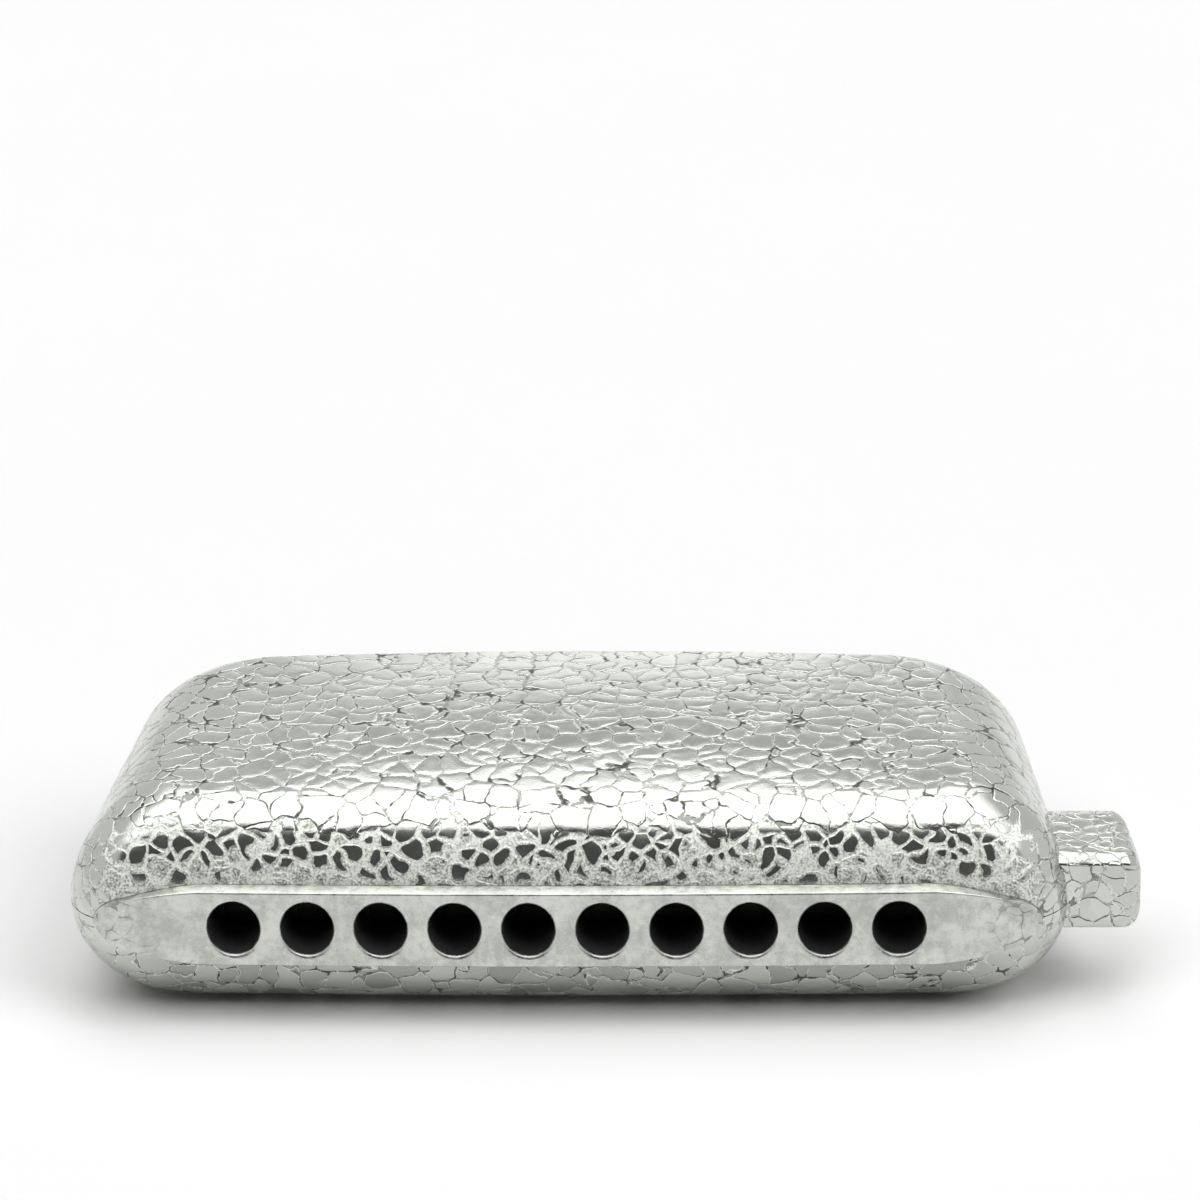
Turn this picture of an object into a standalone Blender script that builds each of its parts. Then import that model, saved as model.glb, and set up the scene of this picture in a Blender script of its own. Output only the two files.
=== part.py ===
# Ten-hole chromatic harmonica in a pillow-shaped casing, with its sprung note slide.
# Metres, +Z up. The blow holes face -Y and the slide's button stands out of the +X end.
import math

import bmesh
import bpy
from mathutils import Matrix, Vector

for old_object in list(bpy.data.objects):
    bpy.data.objects.remove(old_object, do_unlink=True)

# Driving sizes of the whole instrument
HOLE_COUNT = 10
HOLE_PITCH = 0.0094
FIT_GAP = 0.0003
BODY_HEIGHT = 0.031
END_ROOM = 0.0090
REAR_ROOM = 0.0147

# Driving sizes of the casing
COVER_WALL = 0.0012
END_TAPER = 0.0054
FRONT_CORNER = 0.0075
REAR_CORNER = 0.010
END_ROLL = 0.0145
FRONT_ROLL = 0.0093
REAR_ROLL = 0.0045
CROWN = 0.001
FRONT_BOW = 0.0012
REAR_BOW = 0.0028
SLOT_LIP = 0.005
SLOT_CORNER = 0.004
BOSS_RADIUS = 0.0032
COVER_SCREW_RADIUS = 0.001
COVER_SCREW_HEAD = 0.0018

# Driving sizes of the mouthpiece
MOUTH_DEPTH = 0.0088
MOUTH_HEIGHT = 0.0114
MOUTH_PROUD = 0.0015
TIP_HEIGHT = 0.0046
TIP_REACH = 0.0045
HOLE_WIDTH = 0.0066
HOLE_HEIGHT = 0.0074
HOLE_LIP = 0.0005
MOUTH_SCREW_RADIUS = 0.0008
MOUTH_SCREW_HEAD = 0.0016

# Driving sizes of the slide, its button and its spring
SHEET = 0.0005
SLIDE_SHEET = 0.0008
SLIDE_HEIGHT = 0.0092
WINDOW_WIDTH = 0.0042
WINDOW_HEIGHT = 0.003
WINDOW_SPLIT = 0.0016
TANG_HEIGHT = 0.0066
TANG_GRIP = 0.009
BUMPER_WALL = 0.0006
BUTTON_WALL = 0.0017
BUTTON_DEPTH = 0.0152
BUTTON_HEIGHT = 0.0105
BUTTON_LIFT = 0.0006
BUTTON_REACH = 0.0099
BUTTON_ROUND = 0.0024
BUTTON_EDGE = 0.0012
SPRING_RADIUS = 0.0016
SPRING_WIRE = 0.00025
SPRING_TURNS = 6
SPRING_SOCKET = 0.005

# Driving sizes of the comb, the reed plates and the reeds
COMB_THICKNESS = 0.008
COMB_WEB = 0.0012
COMB_END_WALL = 0.0045
COMB_BACK_WALL = 0.0045
FLANGE_REACH = 0.0045
FLANGE_DEPTH = 0.004
CHAMBER_WALL = 0.0018
CHAMBER_DIVIDER = 0.001
CHAMBER_LEAD = 0.0045
PLATE_THICKNESS = 0.001
PLATE_SCREW_RADIUS = 0.0007
PLATE_SCREW_HEAD = 0.0014
PLATE_SCREW_LENGTH = 0.003
REED_LONGEST = 0.0217
REED_SHORTEST = 0.0132
REED_WIDTH = 0.0019
REED_SHEET = 0.0003
REED_PAD_LENGTH = 0.003
REED_PAD_WIDTH = 0.0027
RIVET_RADIUS = 0.0005

# Positions that follow from the sizes, from the holes outward
mid = BODY_HEIGHT / 2
field_half = HOLE_COUNT * HOLE_PITCH / 2
comb_half = field_half + COMB_END_WALL
flange_half = comb_half + FLANGE_REACH
front_half = flange_half + END_ROOM
rear_half = front_half - END_TAPER
travel = HOLE_PITCH / 2
hole_xs = [(index + 0.5) * HOLE_PITCH - field_half for index in range(HOLE_COUNT)]
comb_depth = CHAMBER_LEAD + REED_LONGEST + FIT_GAP + COMB_BACK_WALL
slide_stack = 4 * FIT_GAP + 2 * SHEET + SLIDE_SHEET
body_depth = MOUTH_DEPTH - MOUTH_PROUD + slide_stack + comb_depth + REAR_ROOM
depth_half = body_depth / 2
mouth_front = -depth_half - MOUTH_PROUD
mouth_back = mouth_front + MOUTH_DEPTH
cage_front = mouth_back + FIT_GAP
cage_back = cage_front + SHEET
slide_front = cage_back + FIT_GAP
slide_back = slide_front + SLIDE_SHEET
bed_front = slide_back + FIT_GAP
bed_back = bed_front + SHEET
comb_front = bed_back + FIT_GAP
comb_back = comb_front + comb_depth
comb_top = COMB_THICKNESS / 2
plate_inner = comb_top + FIT_GAP
plate_outer = plate_inner + PLATE_THICKNESS
boss_x = field_half - 1.2 * HOLE_PITCH
boss_y = comb_back + BOSS_RADIUS + 2 * FIT_GAP
lug_half = BOSS_RADIUS + 2 * FIT_GAP
mouth_screw_x = comb_half + FLANGE_REACH / 2
bumper_radius = MOUTH_SCREW_RADIUS + FIT_GAP + BUMPER_WALL
overrun = 4 * FIT_GAP


# Materials
def plain_material(name, colour, roughness, metallic):
    material = bpy.data.materials.new(name)
    material.use_nodes = True
    shader = material.node_tree.nodes["Principled BSDF"]
    shader.inputs["Base Color"].default_value = (*colour, 1.0)
    shader.inputs["Roughness"].default_value = roughness
    shader.inputs["Metallic"].default_value = metallic
    return material


crackle_silver = plain_material("crackle_silver", (0.78, 0.79, 0.78), 0.25, 1.0)
satin_silver = plain_material("satin_silver", (0.72, 0.73, 0.72), 0.4, 1.0)
brass = plain_material("brass", (0.76, 0.58, 0.28), 0.3, 1.0)
black_plastic = plain_material("black_plastic", (0.03, 0.03, 0.03), 0.5, 0.0)
steel = plain_material("steel", (0.6, 0.61, 0.62), 0.35, 1.0)
black_rubber = plain_material("black_rubber", (0.02, 0.02, 0.02), 0.8, 0.0)


# Mesh building
def add_object(name, mesh_data, material):
    bmesh.ops.remove_doubles(mesh_data, verts=mesh_data.verts, dist=1e-7)
    bmesh.ops.recalc_face_normals(mesh_data, faces=mesh_data.faces)
    mesh = bpy.data.meshes.new(name)
    mesh_data.to_mesh(mesh)
    mesh_data.free()
    mesh.materials.append(material)
    mesh.shade_smooth()
    mesh.set_sharp_from_angle(angle=math.radians(35))
    item = bpy.data.objects.new(name, mesh)
    bpy.context.scene.collection.objects.link(item)
    return item


def add_loft(mesh_data, rings):
    rows = [[mesh_data.verts.new(point) for point in ring] for ring in rings]
    count = len(rows[0])
    for low, high in zip(rows, rows[1:]):
        for index in range(count):
            after = (index + 1) % count
            mesh_data.faces.new((low[index], low[after], high[after], high[index]))
    mesh_data.faces.new(rows[0][::-1])
    mesh_data.faces.new(rows[-1])


def add_prism(mesh_data, outline, axis, low, high):
    rings = []
    for level in (low, high):
        if axis == "x":
            rings.append([(level, first, second) for first, second in outline])
        elif axis == "y":
            rings.append([(first, level, second) for first, second in outline])
        else:
            rings.append([(first, second, level) for first, second in outline])
    add_loft(mesh_data, rings)


def rectangle(low_a, high_a, low_b, high_b):
    return [(low_a, low_b), (high_a, low_b), (high_a, high_b), (low_a, high_b)]


def circle(centre_a, centre_b, radius_a, sides, radius_b=None):
    radius_b = radius_b or radius_a
    turns = [2 * math.pi * (side + 0.5) / sides for side in range(sides)]
    return [(centre_a + radius_a * math.cos(t), centre_b + radius_b * math.sin(t)) for t in turns]


def rounded_polygon(corners, radii, steps):
    points = []
    for index, corner in enumerate(corners):
        here = Vector(corner)
        back = (Vector(corners[index - 1]) - here).normalized()
        ahead = (Vector(corners[(index + 1) % len(corners)]) - here).normalized()
        half_angle = back.angle(ahead) / 2
        centre = here + (back + ahead).normalized() * radii[index] / math.sin(half_angle)
        start = (here + back * radii[index] / math.tan(half_angle) - centre).normalized()
        finish = (here + ahead * radii[index] / math.tan(half_angle) - centre).normalized()
        for step in range(steps + 1):
            points.append(centre + start.slerp(finish, step / steps) * radii[index])
    return points


def rounded_rectangle(low_a, high_a, low_b, high_b, radius, steps):
    corners = rectangle(low_a, high_a, low_b, high_b)
    return [tuple(point) for point in rounded_polygon(corners, [radius] * 4, steps)]


def new_tool(name, mesh_data):
    tool = add_object(name, mesh_data, steel)
    tool.hide_render = True
    tool.display_type = "WIRE"
    return tool


def combine(target, tool, operation):
    step = target.modifiers.new(operation.lower() + " " + tool.name, "BOOLEAN")
    step.operation = operation
    step.solver = "EXACT"
    step.object = tool


def set_origin(item, origin):
    item.data.transform(Matrix.Translation(-Vector(origin)))
    item.location = origin


# Outline of the casing seen from above, drawn in from the outside by an inset
def plan_outline(inset):
    front = front_half - inset
    rear = rear_half - inset
    deep = depth_half - inset
    corners = [(-front, -deep), (front, -deep), (rear, deep), (-rear, deep)]
    radii = [FRONT_CORNER - inset, FRONT_CORNER - inset, REAR_CORNER - inset, REAR_CORNER - inset]
    arcs = rounded_polygon(corners, radii, 5)
    edge_steps = (8, 3, 8, 3)
    points = []
    for corner in range(4):
        arc = arcs[corner * 6:corner * 6 + 6]
        points.extend(arc)
        start = arc[-1]
        finish = arcs[(corner * 6 + 6) % len(arcs)]
        for step in range(1, edge_steps[corner]):
            points.append(start.lerp(finish, step / edge_steps[corner]))
    bowed = []
    for x, y in points:
        bow = FRONT_BOW if y < 0 else REAR_BOW
        bowed.append((x, y * (1 - bow / depth_half * (x / front_half) ** 2)))
    return bowed


def outline_crossing(along, value, sign):
    points = plan_outline(0.0)
    crossings = []
    for first, second in zip(points, points[1:] + points[:1]):
        a = first[along] - value
        b = second[along] - value
        if a * b <= 0 and a != b:
            share = a / (a - b)
            crossings.append(first[1 - along] + share * (second[1 - along] - first[1 - along]))
    return sign * max(sign * crossing for crossing in crossings)


# Casing: two pressed shells rolled over all round, meeting at a fine seam at the ends
def cover_rings(inset, side):
    outline = plan_outline(inset)
    seam = FIT_GAP / 2
    roof = BODY_HEIGHT / 2 - CROWN - inset
    levels = []
    for step in range(6):
        angle = math.radians(90 * step / 5)
        levels.append((1 - math.cos(angle), 1.0, seam + (roof - seam) * math.sin(angle)))
    for share in (0.8, 0.6):
        levels.append((1.0, share, roof + CROWN * (1 - ((share - 0.6) / 0.4) ** 2)))
    rings = []
    for roll, share, height in levels:
        ring = []
        for x, y in outline:
            side_roll = FRONT_ROLL if y < 0 else REAR_ROLL
            wide = x * (1 - END_ROLL / front_half * roll) * share
            deep = y * (1 - side_roll / depth_half * roll) * share
            ring.append((wide, deep, mid + side * height))
        rings.append(ring)
    return rings


def make_cover(name, side):
    mesh_data = bmesh.new()
    outer = cover_rings(0.0, side)
    inner = cover_rings(COVER_WALL, side)
    add_loft(mesh_data, list(reversed(outer)) + inner)
    return add_object(name, mesh_data, crackle_silver)


upper_cover = make_cover("upper_cover", 1)
lower_cover = make_cover("lower_cover", -1)


# Bosses inside the covers, which clamp the comb's rear lugs
def boss_tool(name, side):
    mesh_data = bmesh.new()
    near = mid + side * (comb_top + FIT_GAP)
    far = mid + side * (BODY_HEIGHT / 2 - CROWN - COVER_WALL / 2)
    for x in (-boss_x, boss_x):
        add_prism(mesh_data, circle(x, boss_y, BOSS_RADIUS, 16), "z", min(near, far), max(near, far))
    return new_tool(name, mesh_data)


combine(upper_cover, boss_tool("upper_bosses", 1), "UNION")
combine(lower_cover, boss_tool("lower_bosses", -1), "UNION")


# Mouthpiece: a bar with tapered tips that wrap round the casing's front corners
tip_x = flange_half + TIP_REACH


def mouth_stations():
    taper_start = field_half - 0.1 * HOLE_PITCH
    count = 6
    outer = [taper_start + (tip_x - taper_start) * step / count for step in range(count + 1)]
    outer += [flange_half, flange_half + 2 * FIT_GAP]
    positive = sorted(set(outer + [field_half * step / 4 for step in range(1, 4)]))
    return [-x for x in reversed(positive)] + [0.0] + positive


def taper_share(x):
    taper_start = field_half - 0.1 * HOLE_PITCH
    return max(0.0, (abs(x) - taper_start) / (tip_x - taper_start))


def band_half(x):
    share = taper_share(x) ** 1.5
    return MOUTH_HEIGHT / 2 + (TIP_HEIGHT - MOUTH_HEIGHT) / 2 * share


def mouth_face(x):
    return outline_crossing(0, x, -1) - MOUTH_PROUD * (1 - taper_share(x) ** 2)


def mouth_rings():
    rings = []
    chamfer = 2 * FIT_GAP
    for x in mouth_stations():
        face = mouth_face(x)
        half = band_half(x)
        back = mouth_back if abs(x) <= flange_half + 1e-9 else face + 0.35 * MOUTH_DEPTH
        section = [(face, half - chamfer), (face + chamfer, half), (back, half)]
        section += [(back, -half), (face + chamfer, -half), (face, chamfer - half)]
        rings.append([(x, y, mid + z) for y, z in section])
    return rings


mouth_mesh = bmesh.new()
add_loft(mouth_mesh, mouth_rings())
mouthpiece = add_object("mouthpiece", mouth_mesh, satin_silver)

hole_mesh = bmesh.new()
for x in hole_xs:
    face = mouth_face(x)
    hole_rings = []
    lip_levels = [(face - overrun, HOLE_LIP), (face, HOLE_LIP)]
    lip_levels += [(face + HOLE_LIP, 0.0), (mouth_back + overrun, 0.0)]
    for y, lip in lip_levels:
        oval = circle(x, mid, HOLE_WIDTH / 2 + lip, 20, HOLE_HEIGHT / 2 + lip)
        hole_rings.append([(a, y, b) for a, b in oval])
    add_loft(hole_mesh, hole_rings)
combine(mouthpiece, new_tool("blow_hole_cutter", hole_mesh), "DIFFERENCE")

thread_depth = MOUTH_DEPTH * 0.6
thread_mesh = bmesh.new()
for x in (-mouth_screw_x, mouth_screw_x):
    bore = circle(x, mid, MOUTH_SCREW_RADIUS + FIT_GAP, 10)
    add_prism(thread_mesh, bore, "y", mouth_back - thread_depth - FIT_GAP, mouth_back + overrun)
combine(mouthpiece, new_tool("mouth_thread_cutter", thread_mesh), "DIFFERENCE")


# Openings in the covers: mouth notch, rear sound slot, button port and screw bores
notch_mesh = bmesh.new()
notch_rings = []
for x in mouth_stations():
    wide = x + math.copysign(FIT_GAP, x) if abs(x) > tip_x - 1e-9 else x
    half = band_half(x) + FIT_GAP
    section = rectangle(mouth_front - MOUTH_DEPTH, mouth_back, mid - half, mid + half)
    notch_rings.append([(wide, y, z) for y, z in section])
add_loft(notch_mesh, notch_rings)
notch_tool = new_tool("mouth_notch_cutter", notch_mesh)

slot_half = BODY_HEIGHT / 2 - SLOT_LIP
slot_mesh = bmesh.new()
slot_shape = rounded_rectangle(
    -field_half, field_half, mid - slot_half, mid + slot_half, SLOT_CORNER, 4)
add_prism(slot_mesh, slot_shape, "y", boss_y + lug_half + 2 * FIT_GAP, depth_half + REAR_ROOM)
slot_tool = new_tool("sound_slot_cutter", slot_mesh)

button_front = slide_front - BUTTON_WALL
button_back = button_front + BUTTON_DEPTH
button_low = mid + BUTTON_LIFT - BUTTON_HEIGHT / 2
button_high = mid + BUTTON_LIFT + BUTTON_HEIGHT / 2
button_inner = flange_half + travel + 2 * FIT_GAP
button_outer = outline_crossing(1, (button_front + button_back) / 2, 1) + BUTTON_REACH

port_mesh = bmesh.new()
port_shape = rounded_rectangle(
    button_front - FIT_GAP, button_back + FIT_GAP, button_low - FIT_GAP, button_high + FIT_GAP,
    BUTTON_EDGE + FIT_GAP, 3)
add_prism(port_mesh, port_shape, "x", flange_half + 2 * FIT_GAP, front_half + BUTTON_REACH)
port_tool = new_tool("button_port_cutter", port_mesh)

screw_head_low = 2 * FIT_GAP
screw_head_high = screw_head_low + COVER_SCREW_RADIUS * 1.2
screw_tip = mid + comb_top + 0.45 * (BODY_HEIGHT / 2 - comb_top)
bore_mesh = bmesh.new()
for x in (-boss_x, boss_x):
    bore_rings = []
    head_bore = COVER_SCREW_HEAD + FIT_GAP
    shank_bore = COVER_SCREW_RADIUS + FIT_GAP
    head_end = screw_head_high + FIT_GAP
    for z, radius in ((-overrun, head_bore), (head_end, head_bore), (head_end, shank_bore)):
        bore_rings.append([(a, b, z) for a, b in circle(x, boss_y, radius, 12)])
    top = screw_tip + FIT_GAP
    bore_rings.append([(a, b, top) for a, b in circle(x, boss_y, shank_bore, 12)])
    add_loft(bore_mesh, bore_rings)
bore_tool = new_tool("cover_screw_bore_cutter", bore_mesh)

for cover in (upper_cover, lower_cover):
    combine(cover, notch_tool, "DIFFERENCE")
    combine(cover, slot_tool, "DIFFERENCE")
    combine(cover, port_tool, "DIFFERENCE")
    combine(cover, bore_tool, "DIFFERENCE")


# Comb: moulded block with a pair of air chambers for every hole
comb_outline = [
    (-flange_half, comb_front), (flange_half, comb_front),
    (flange_half, comb_front + FLANGE_DEPTH), (comb_half, comb_front + FLANGE_DEPTH),
    (comb_half, comb_back)]
for sign in (1, -1):
    near = boss_x + sign * lug_half
    far = boss_x - sign * lug_half
    lug = [(near, comb_back), (near, boss_y + lug_half), (far, boss_y + lug_half), (far, comb_back)]
    comb_outline += [(sign * x, y) for x, y in lug]
comb_outline += [
    (-comb_half, comb_back), (-comb_half, comb_front + FLANGE_DEPTH),
    (-flange_half, comb_front + FLANGE_DEPTH)]
comb_mesh = bmesh.new()
add_prism(comb_mesh, comb_outline, "z", mid - comb_top, mid + comb_top)
comb = add_object("comb", comb_mesh, black_plastic)

chamber_half = (HOLE_PITCH - CHAMBER_WALL) / 2
channel_centre = (chamber_half + CHAMBER_DIVIDER / 2) / 2


def reed_length(index):
    share = index / (HOLE_COUNT - 1)
    return REED_LONGEST + (REED_SHORTEST - REED_LONGEST) * share


chamber_mesh = bmesh.new()
for index, x in enumerate(hole_xs):
    chamber_end = comb_front + CHAMBER_LEAD + reed_length(index) + FIT_GAP
    divider_start = comb_front + CHAMBER_LEAD - FIT_GAP
    rib = CHAMBER_DIVIDER / 2
    shape = [
        (x - chamber_half, comb_front - overrun), (x + chamber_half, comb_front - overrun),
        (x + chamber_half, chamber_end), (x + rib, chamber_end), (x + rib, divider_start),
        (x - rib, divider_start), (x - rib, chamber_end), (x - chamber_half, chamber_end)]
    add_prism(chamber_mesh, shape, "z", mid + COMB_WEB / 2, mid + comb_top + overrun)
    add_prism(chamber_mesh, shape, "z", mid - comb_top - overrun, mid - COMB_WEB / 2)
combine(comb, new_tool("chamber_cutter", chamber_mesh), "DIFFERENCE")

spring_y = comb_front + FLANGE_DEPTH / 2
spigot_radius = SPRING_RADIUS - SPRING_WIRE - FIT_GAP
spigot_mesh = bmesh.new()
spigot_start = flange_half - 0.5 * FLANGE_REACH + MOUTH_SCREW_RADIUS + 2 * FIT_GAP
spigot_end = flange_half + travel / 2
add_prism(spigot_mesh, circle(spring_y, mid, spigot_radius, 10), "x", spigot_start, spigot_end)
combine(comb, new_tool("spring_spigot", spigot_mesh), "UNION")

plate_screw_x = (hole_xs[-1] + chamber_half + comb_half) / 2
plate_screw_y = {1: comb_front + 0.65 * comb_depth, -1: comb_front + 0.35 * comb_depth}
comb_bores = bmesh.new()
for sign in (-1, 1):
    bore = circle(sign * mouth_screw_x, mid, MOUTH_SCREW_RADIUS + FIT_GAP, 10)
    add_prism(comb_bores, bore, "y", comb_front - overrun, comb_front + FLANGE_DEPTH + overrun)
    bore = circle(sign * boss_x, boss_y, COVER_SCREW_RADIUS + FIT_GAP, 12)
    add_prism(comb_bores, bore, "z", mid - comb_top - overrun, mid + comb_top + overrun)
    for side in (-1, 1):
        bore = circle(sign * plate_screw_x, plate_screw_y[side], PLATE_SCREW_RADIUS + FIT_GAP, 10)
        ends = sorted((mid + side * (comb_top + overrun), mid + side * (comb_top - PLATE_SCREW_LENGTH)))
        add_prism(comb_bores, bore, "z", ends[0], ends[1])
combine(comb, new_tool("comb_bore_cutter", comb_bores), "DIFFERENCE")


# Reed plates: brass sheets with a slot and a rivet hole for every reed
def reed_place(index, blow):
    x = hole_xs[index] + (-channel_centre if blow else channel_centre)
    length = reed_length(index)
    start = comb_front + CHAMBER_LEAD
    tongue = length - REED_PAD_LENGTH
    if blow:
        return x, start + tongue, -1, tongue
    return x, start + REED_PAD_LENGTH, 1, tongue


def make_plate(name, side):
    levels = sorted((mid + side * plate_inner, mid + side * plate_outer))
    mesh_data = bmesh.new()
    sheet = rectangle(-comb_half, comb_half, comb_front, comb_back)
    add_prism(mesh_data, sheet, "z", levels[0], levels[1])
    plate = add_object(name, mesh_data, brass)
    cutter = bmesh.new()
    low = levels[0] - 0.001
    high = levels[1] + 0.001
    for index in range(HOLE_COUNT):
        for blow in (True, False):
            x, root, along, tongue = reed_place(index, blow)
            half = REED_WIDTH / 2 + FIT_GAP / 2
            ends = sorted((root + along * FIT_GAP, root + along * (tongue + FIT_GAP)))
            add_prism(cutter, rectangle(x - half, x + half, ends[0], ends[1]), "z", low, high)
            rivet = circle(x, root - along * REED_PAD_LENGTH / 2, RIVET_RADIUS + FIT_GAP, 8)
            add_prism(cutter, rivet, "z", low, high)
    for sign in (-1, 1):
        bore = circle(sign * plate_screw_x, plate_screw_y[side], PLATE_SCREW_RADIUS + FIT_GAP, 10)
        add_prism(cutter, bore, "z", low, high)
    combine(plate, new_tool(name + "_cutter", cutter), "DIFFERENCE")


make_plate("upper_reed_plate", 1)
make_plate("lower_reed_plate", -1)


# Reeds: a brass tongue on a pad, fixed by a rivet through the plate
def make_reed(name, index, blow, side):
    x, root, along, tongue = reed_place(index, blow)
    outward = -side if blow else side
    face = mid + side * (plate_inner if blow else plate_outer)
    near = face + outward * FIT_GAP
    far = near + outward * REED_SHEET
    rivet_end = face - outward * PLATE_THICKNESS
    narrow = REED_WIDTH / 2
    wide = REED_PAD_WIDTH / 2
    clip = 0.2 * REED_PAD_LENGTH
    pad = [
        (-narrow, 0.0), (narrow, 0.0), (wide, -clip), (wide, clip - REED_PAD_LENGTH),
        (wide - clip, -REED_PAD_LENGTH), (clip - wide, -REED_PAD_LENGTH),
        (-wide, clip - REED_PAD_LENGTH), (-wide, -clip)]
    turns = [math.radians(112.5 - 45 * step) for step in range(8)]
    pin = [(RIVET_RADIUS * math.cos(t), RIVET_RADIUS * math.sin(t) - REED_PAD_LENGTH / 2) for t in turns]
    mesh_data = bmesh.new()

    def row(points, level):
        return [mesh_data.verts.new((x + a, root + along * b, level)) for a, b in points]

    tip = [(-narrow, tongue), (narrow, tongue)]
    pad_near = row(pad, near)
    pad_far = row(pad, far)
    tip_near = row(tip, near)
    tip_far = row(tip, far)
    pin_near = row(pin, near)
    pin_end = row(pin, rivet_end)
    for step in range(8):
        after = (step + 1) % 8
        mesh_data.faces.new((pad_near[step], pad_near[after], pin_near[after], pin_near[step]))
        mesh_data.faces.new((pin_near[step], pin_near[after], pin_end[after], pin_end[step]))
        if step > 0:
            mesh_data.faces.new((pad_near[step], pad_near[after], pad_far[after], pad_far[step]))
    mesh_data.faces.new(pad_far)
    mesh_data.faces.new(pin_end)
    for level_pad, level_tip in ((pad_near, tip_near), (pad_far, tip_far)):
        mesh_data.faces.new((level_pad[0], level_pad[1], level_tip[1], level_tip[0]))
    mesh_data.faces.new((tip_near[0], tip_near[1], tip_far[1], tip_far[0]))
    mesh_data.faces.new((pad_near[0], tip_near[0], tip_far[0], pad_far[0]))
    mesh_data.faces.new((pad_near[1], tip_near[1], tip_far[1], pad_far[1]))
    add_object(name, mesh_data, brass)


for hole in range(HOLE_COUNT):
    make_reed("natural_blow_reed_%02d" % (hole + 1), hole, True, 1)
    make_reed("natural_draw_reed_%02d" % (hole + 1), hole, False, 1)
    make_reed("sharp_blow_reed_%02d" % (hole + 1), hole, True, -1)
    make_reed("sharp_draw_reed_%02d" % (hole + 1), hole, False, -1)


# Slide cage, slide and slide bed: the windowed sheets between the mouthpiece and the comb
def window(x, side):
    levels = sorted((mid + side * WINDOW_SPLIT / 2, mid + side * (WINDOW_SPLIT / 2 + WINDOW_HEIGHT)))
    return rectangle(x - WINDOW_WIDTH / 2, x + WINDOW_WIDTH / 2, levels[0], levels[1])


slide_half = SLIDE_HEIGHT / 2
window_reach = WINDOW_SPLIT / 2 + WINDOW_HEIGHT
lip_inner = slide_half + FIT_GAP
lip_outer = lip_inner + SHEET
cage_section = [
    (cage_front, mid - lip_outer), (bed_back, mid - lip_outer), (bed_back, mid - lip_inner),
    (cage_back, mid - lip_inner), (cage_back, mid + lip_inner), (bed_back, mid + lip_inner),
    (bed_back, mid + lip_outer), (cage_front, mid + lip_outer)]
cage_mesh = bmesh.new()
add_prism(cage_mesh, cage_section, "x", -flange_half, flange_half)
slide_cage = add_object("slide_cage", cage_mesh, steel)

bed_mesh = bmesh.new()
bed_shape = rectangle(-flange_half, flange_half, mid - slide_half, mid + slide_half)
add_prism(bed_mesh, bed_shape, "y", bed_front, bed_back)
slide_bed = add_object("slide_bed", bed_mesh, steel)

cage_cutter = bmesh.new()
bed_cutter = bmesh.new()
slide_cutter = bmesh.new()
for x in hole_xs:
    tall = rectangle(x - WINDOW_WIDTH / 2, x + WINDOW_WIDTH / 2, mid - window_reach, mid + window_reach)
    add_prism(cage_cutter, tall, "y", cage_front - overrun, cage_back + overrun)
    for side in (-1, 1):
        add_prism(bed_cutter, window(x, side), "y", bed_front - overrun, bed_back + overrun)
    add_prism(slide_cutter, window(x, 1), "y", slide_front - overrun, slide_back + overrun)
    add_prism(slide_cutter, window(x + travel, -1), "y", slide_front - overrun, slide_back + overrun)
for x in (-mouth_screw_x, mouth_screw_x):
    bore = circle(x, mid, MOUTH_SCREW_RADIUS + FIT_GAP, 10)
    add_prism(cage_cutter, bore, "y", cage_front - overrun, cage_back + overrun)
    add_prism(bed_cutter, bore, "y", bed_front - overrun, bed_back + overrun)
combine(slide_cage, new_tool("cage_window_cutter", cage_cutter), "DIFFERENCE")
combine(slide_bed, new_tool("bed_window_cutter", bed_cutter), "DIFFERENCE")

slide_left = travel - flange_half
tang_half = TANG_HEIGHT / 2
tang_end = button_inner + TANG_GRIP
notch_half = MOUTH_SCREW_RADIUS + FIT_GAP
notch_end = travel - mouth_screw_x + notch_half
slide_outline = [
    (slide_left, mid - slide_half), (flange_half, mid - slide_half), (flange_half, mid - tang_half),
    (tang_end, mid - tang_half), (tang_end, mid + tang_half), (flange_half, mid + tang_half),
    (flange_half, mid + slide_half), (slide_left, mid + slide_half), (slide_left, mid + notch_half),
    (notch_end, mid + notch_half), (notch_end, mid - notch_half), (slide_left, mid - notch_half)]
slide_mesh = bmesh.new()
add_prism(slide_mesh, slide_outline, "y", slide_front, slide_back)
slide = add_object("slide", slide_mesh, steel)

race = bumper_radius + FIT_GAP
race_shape = rounded_rectangle(
    mouth_screw_x - race, mouth_screw_x + travel + race, mid - race, mid + race, race * 0.98, 4)
add_prism(slide_cutter, race_shape, "y", slide_front - overrun, slide_back + overrun)
combine(slide, new_tool("slide_window_cutter", slide_cutter), "DIFFERENCE")
slide_axis = (0.0, (slide_front + slide_back) / 2, mid)
set_origin(slide, slide_axis)

bumper_mesh = bmesh.new()
add_prism(bumper_mesh, circle(mouth_screw_x, mid, bumper_radius, 14), "y", slide_front, slide_back)
slide_bumper = add_object("slide_bumper", bumper_mesh, black_rubber)
bumper_bore = bmesh.new()
bore = circle(mouth_screw_x, mid, MOUTH_SCREW_RADIUS + FIT_GAP, 14)
add_prism(bumper_bore, bore, "y", slide_front - overrun, slide_back + overrun)
combine(slide_bumper, new_tool("bumper_bore_cutter", bumper_bore), "DIFFERENCE")


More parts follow.
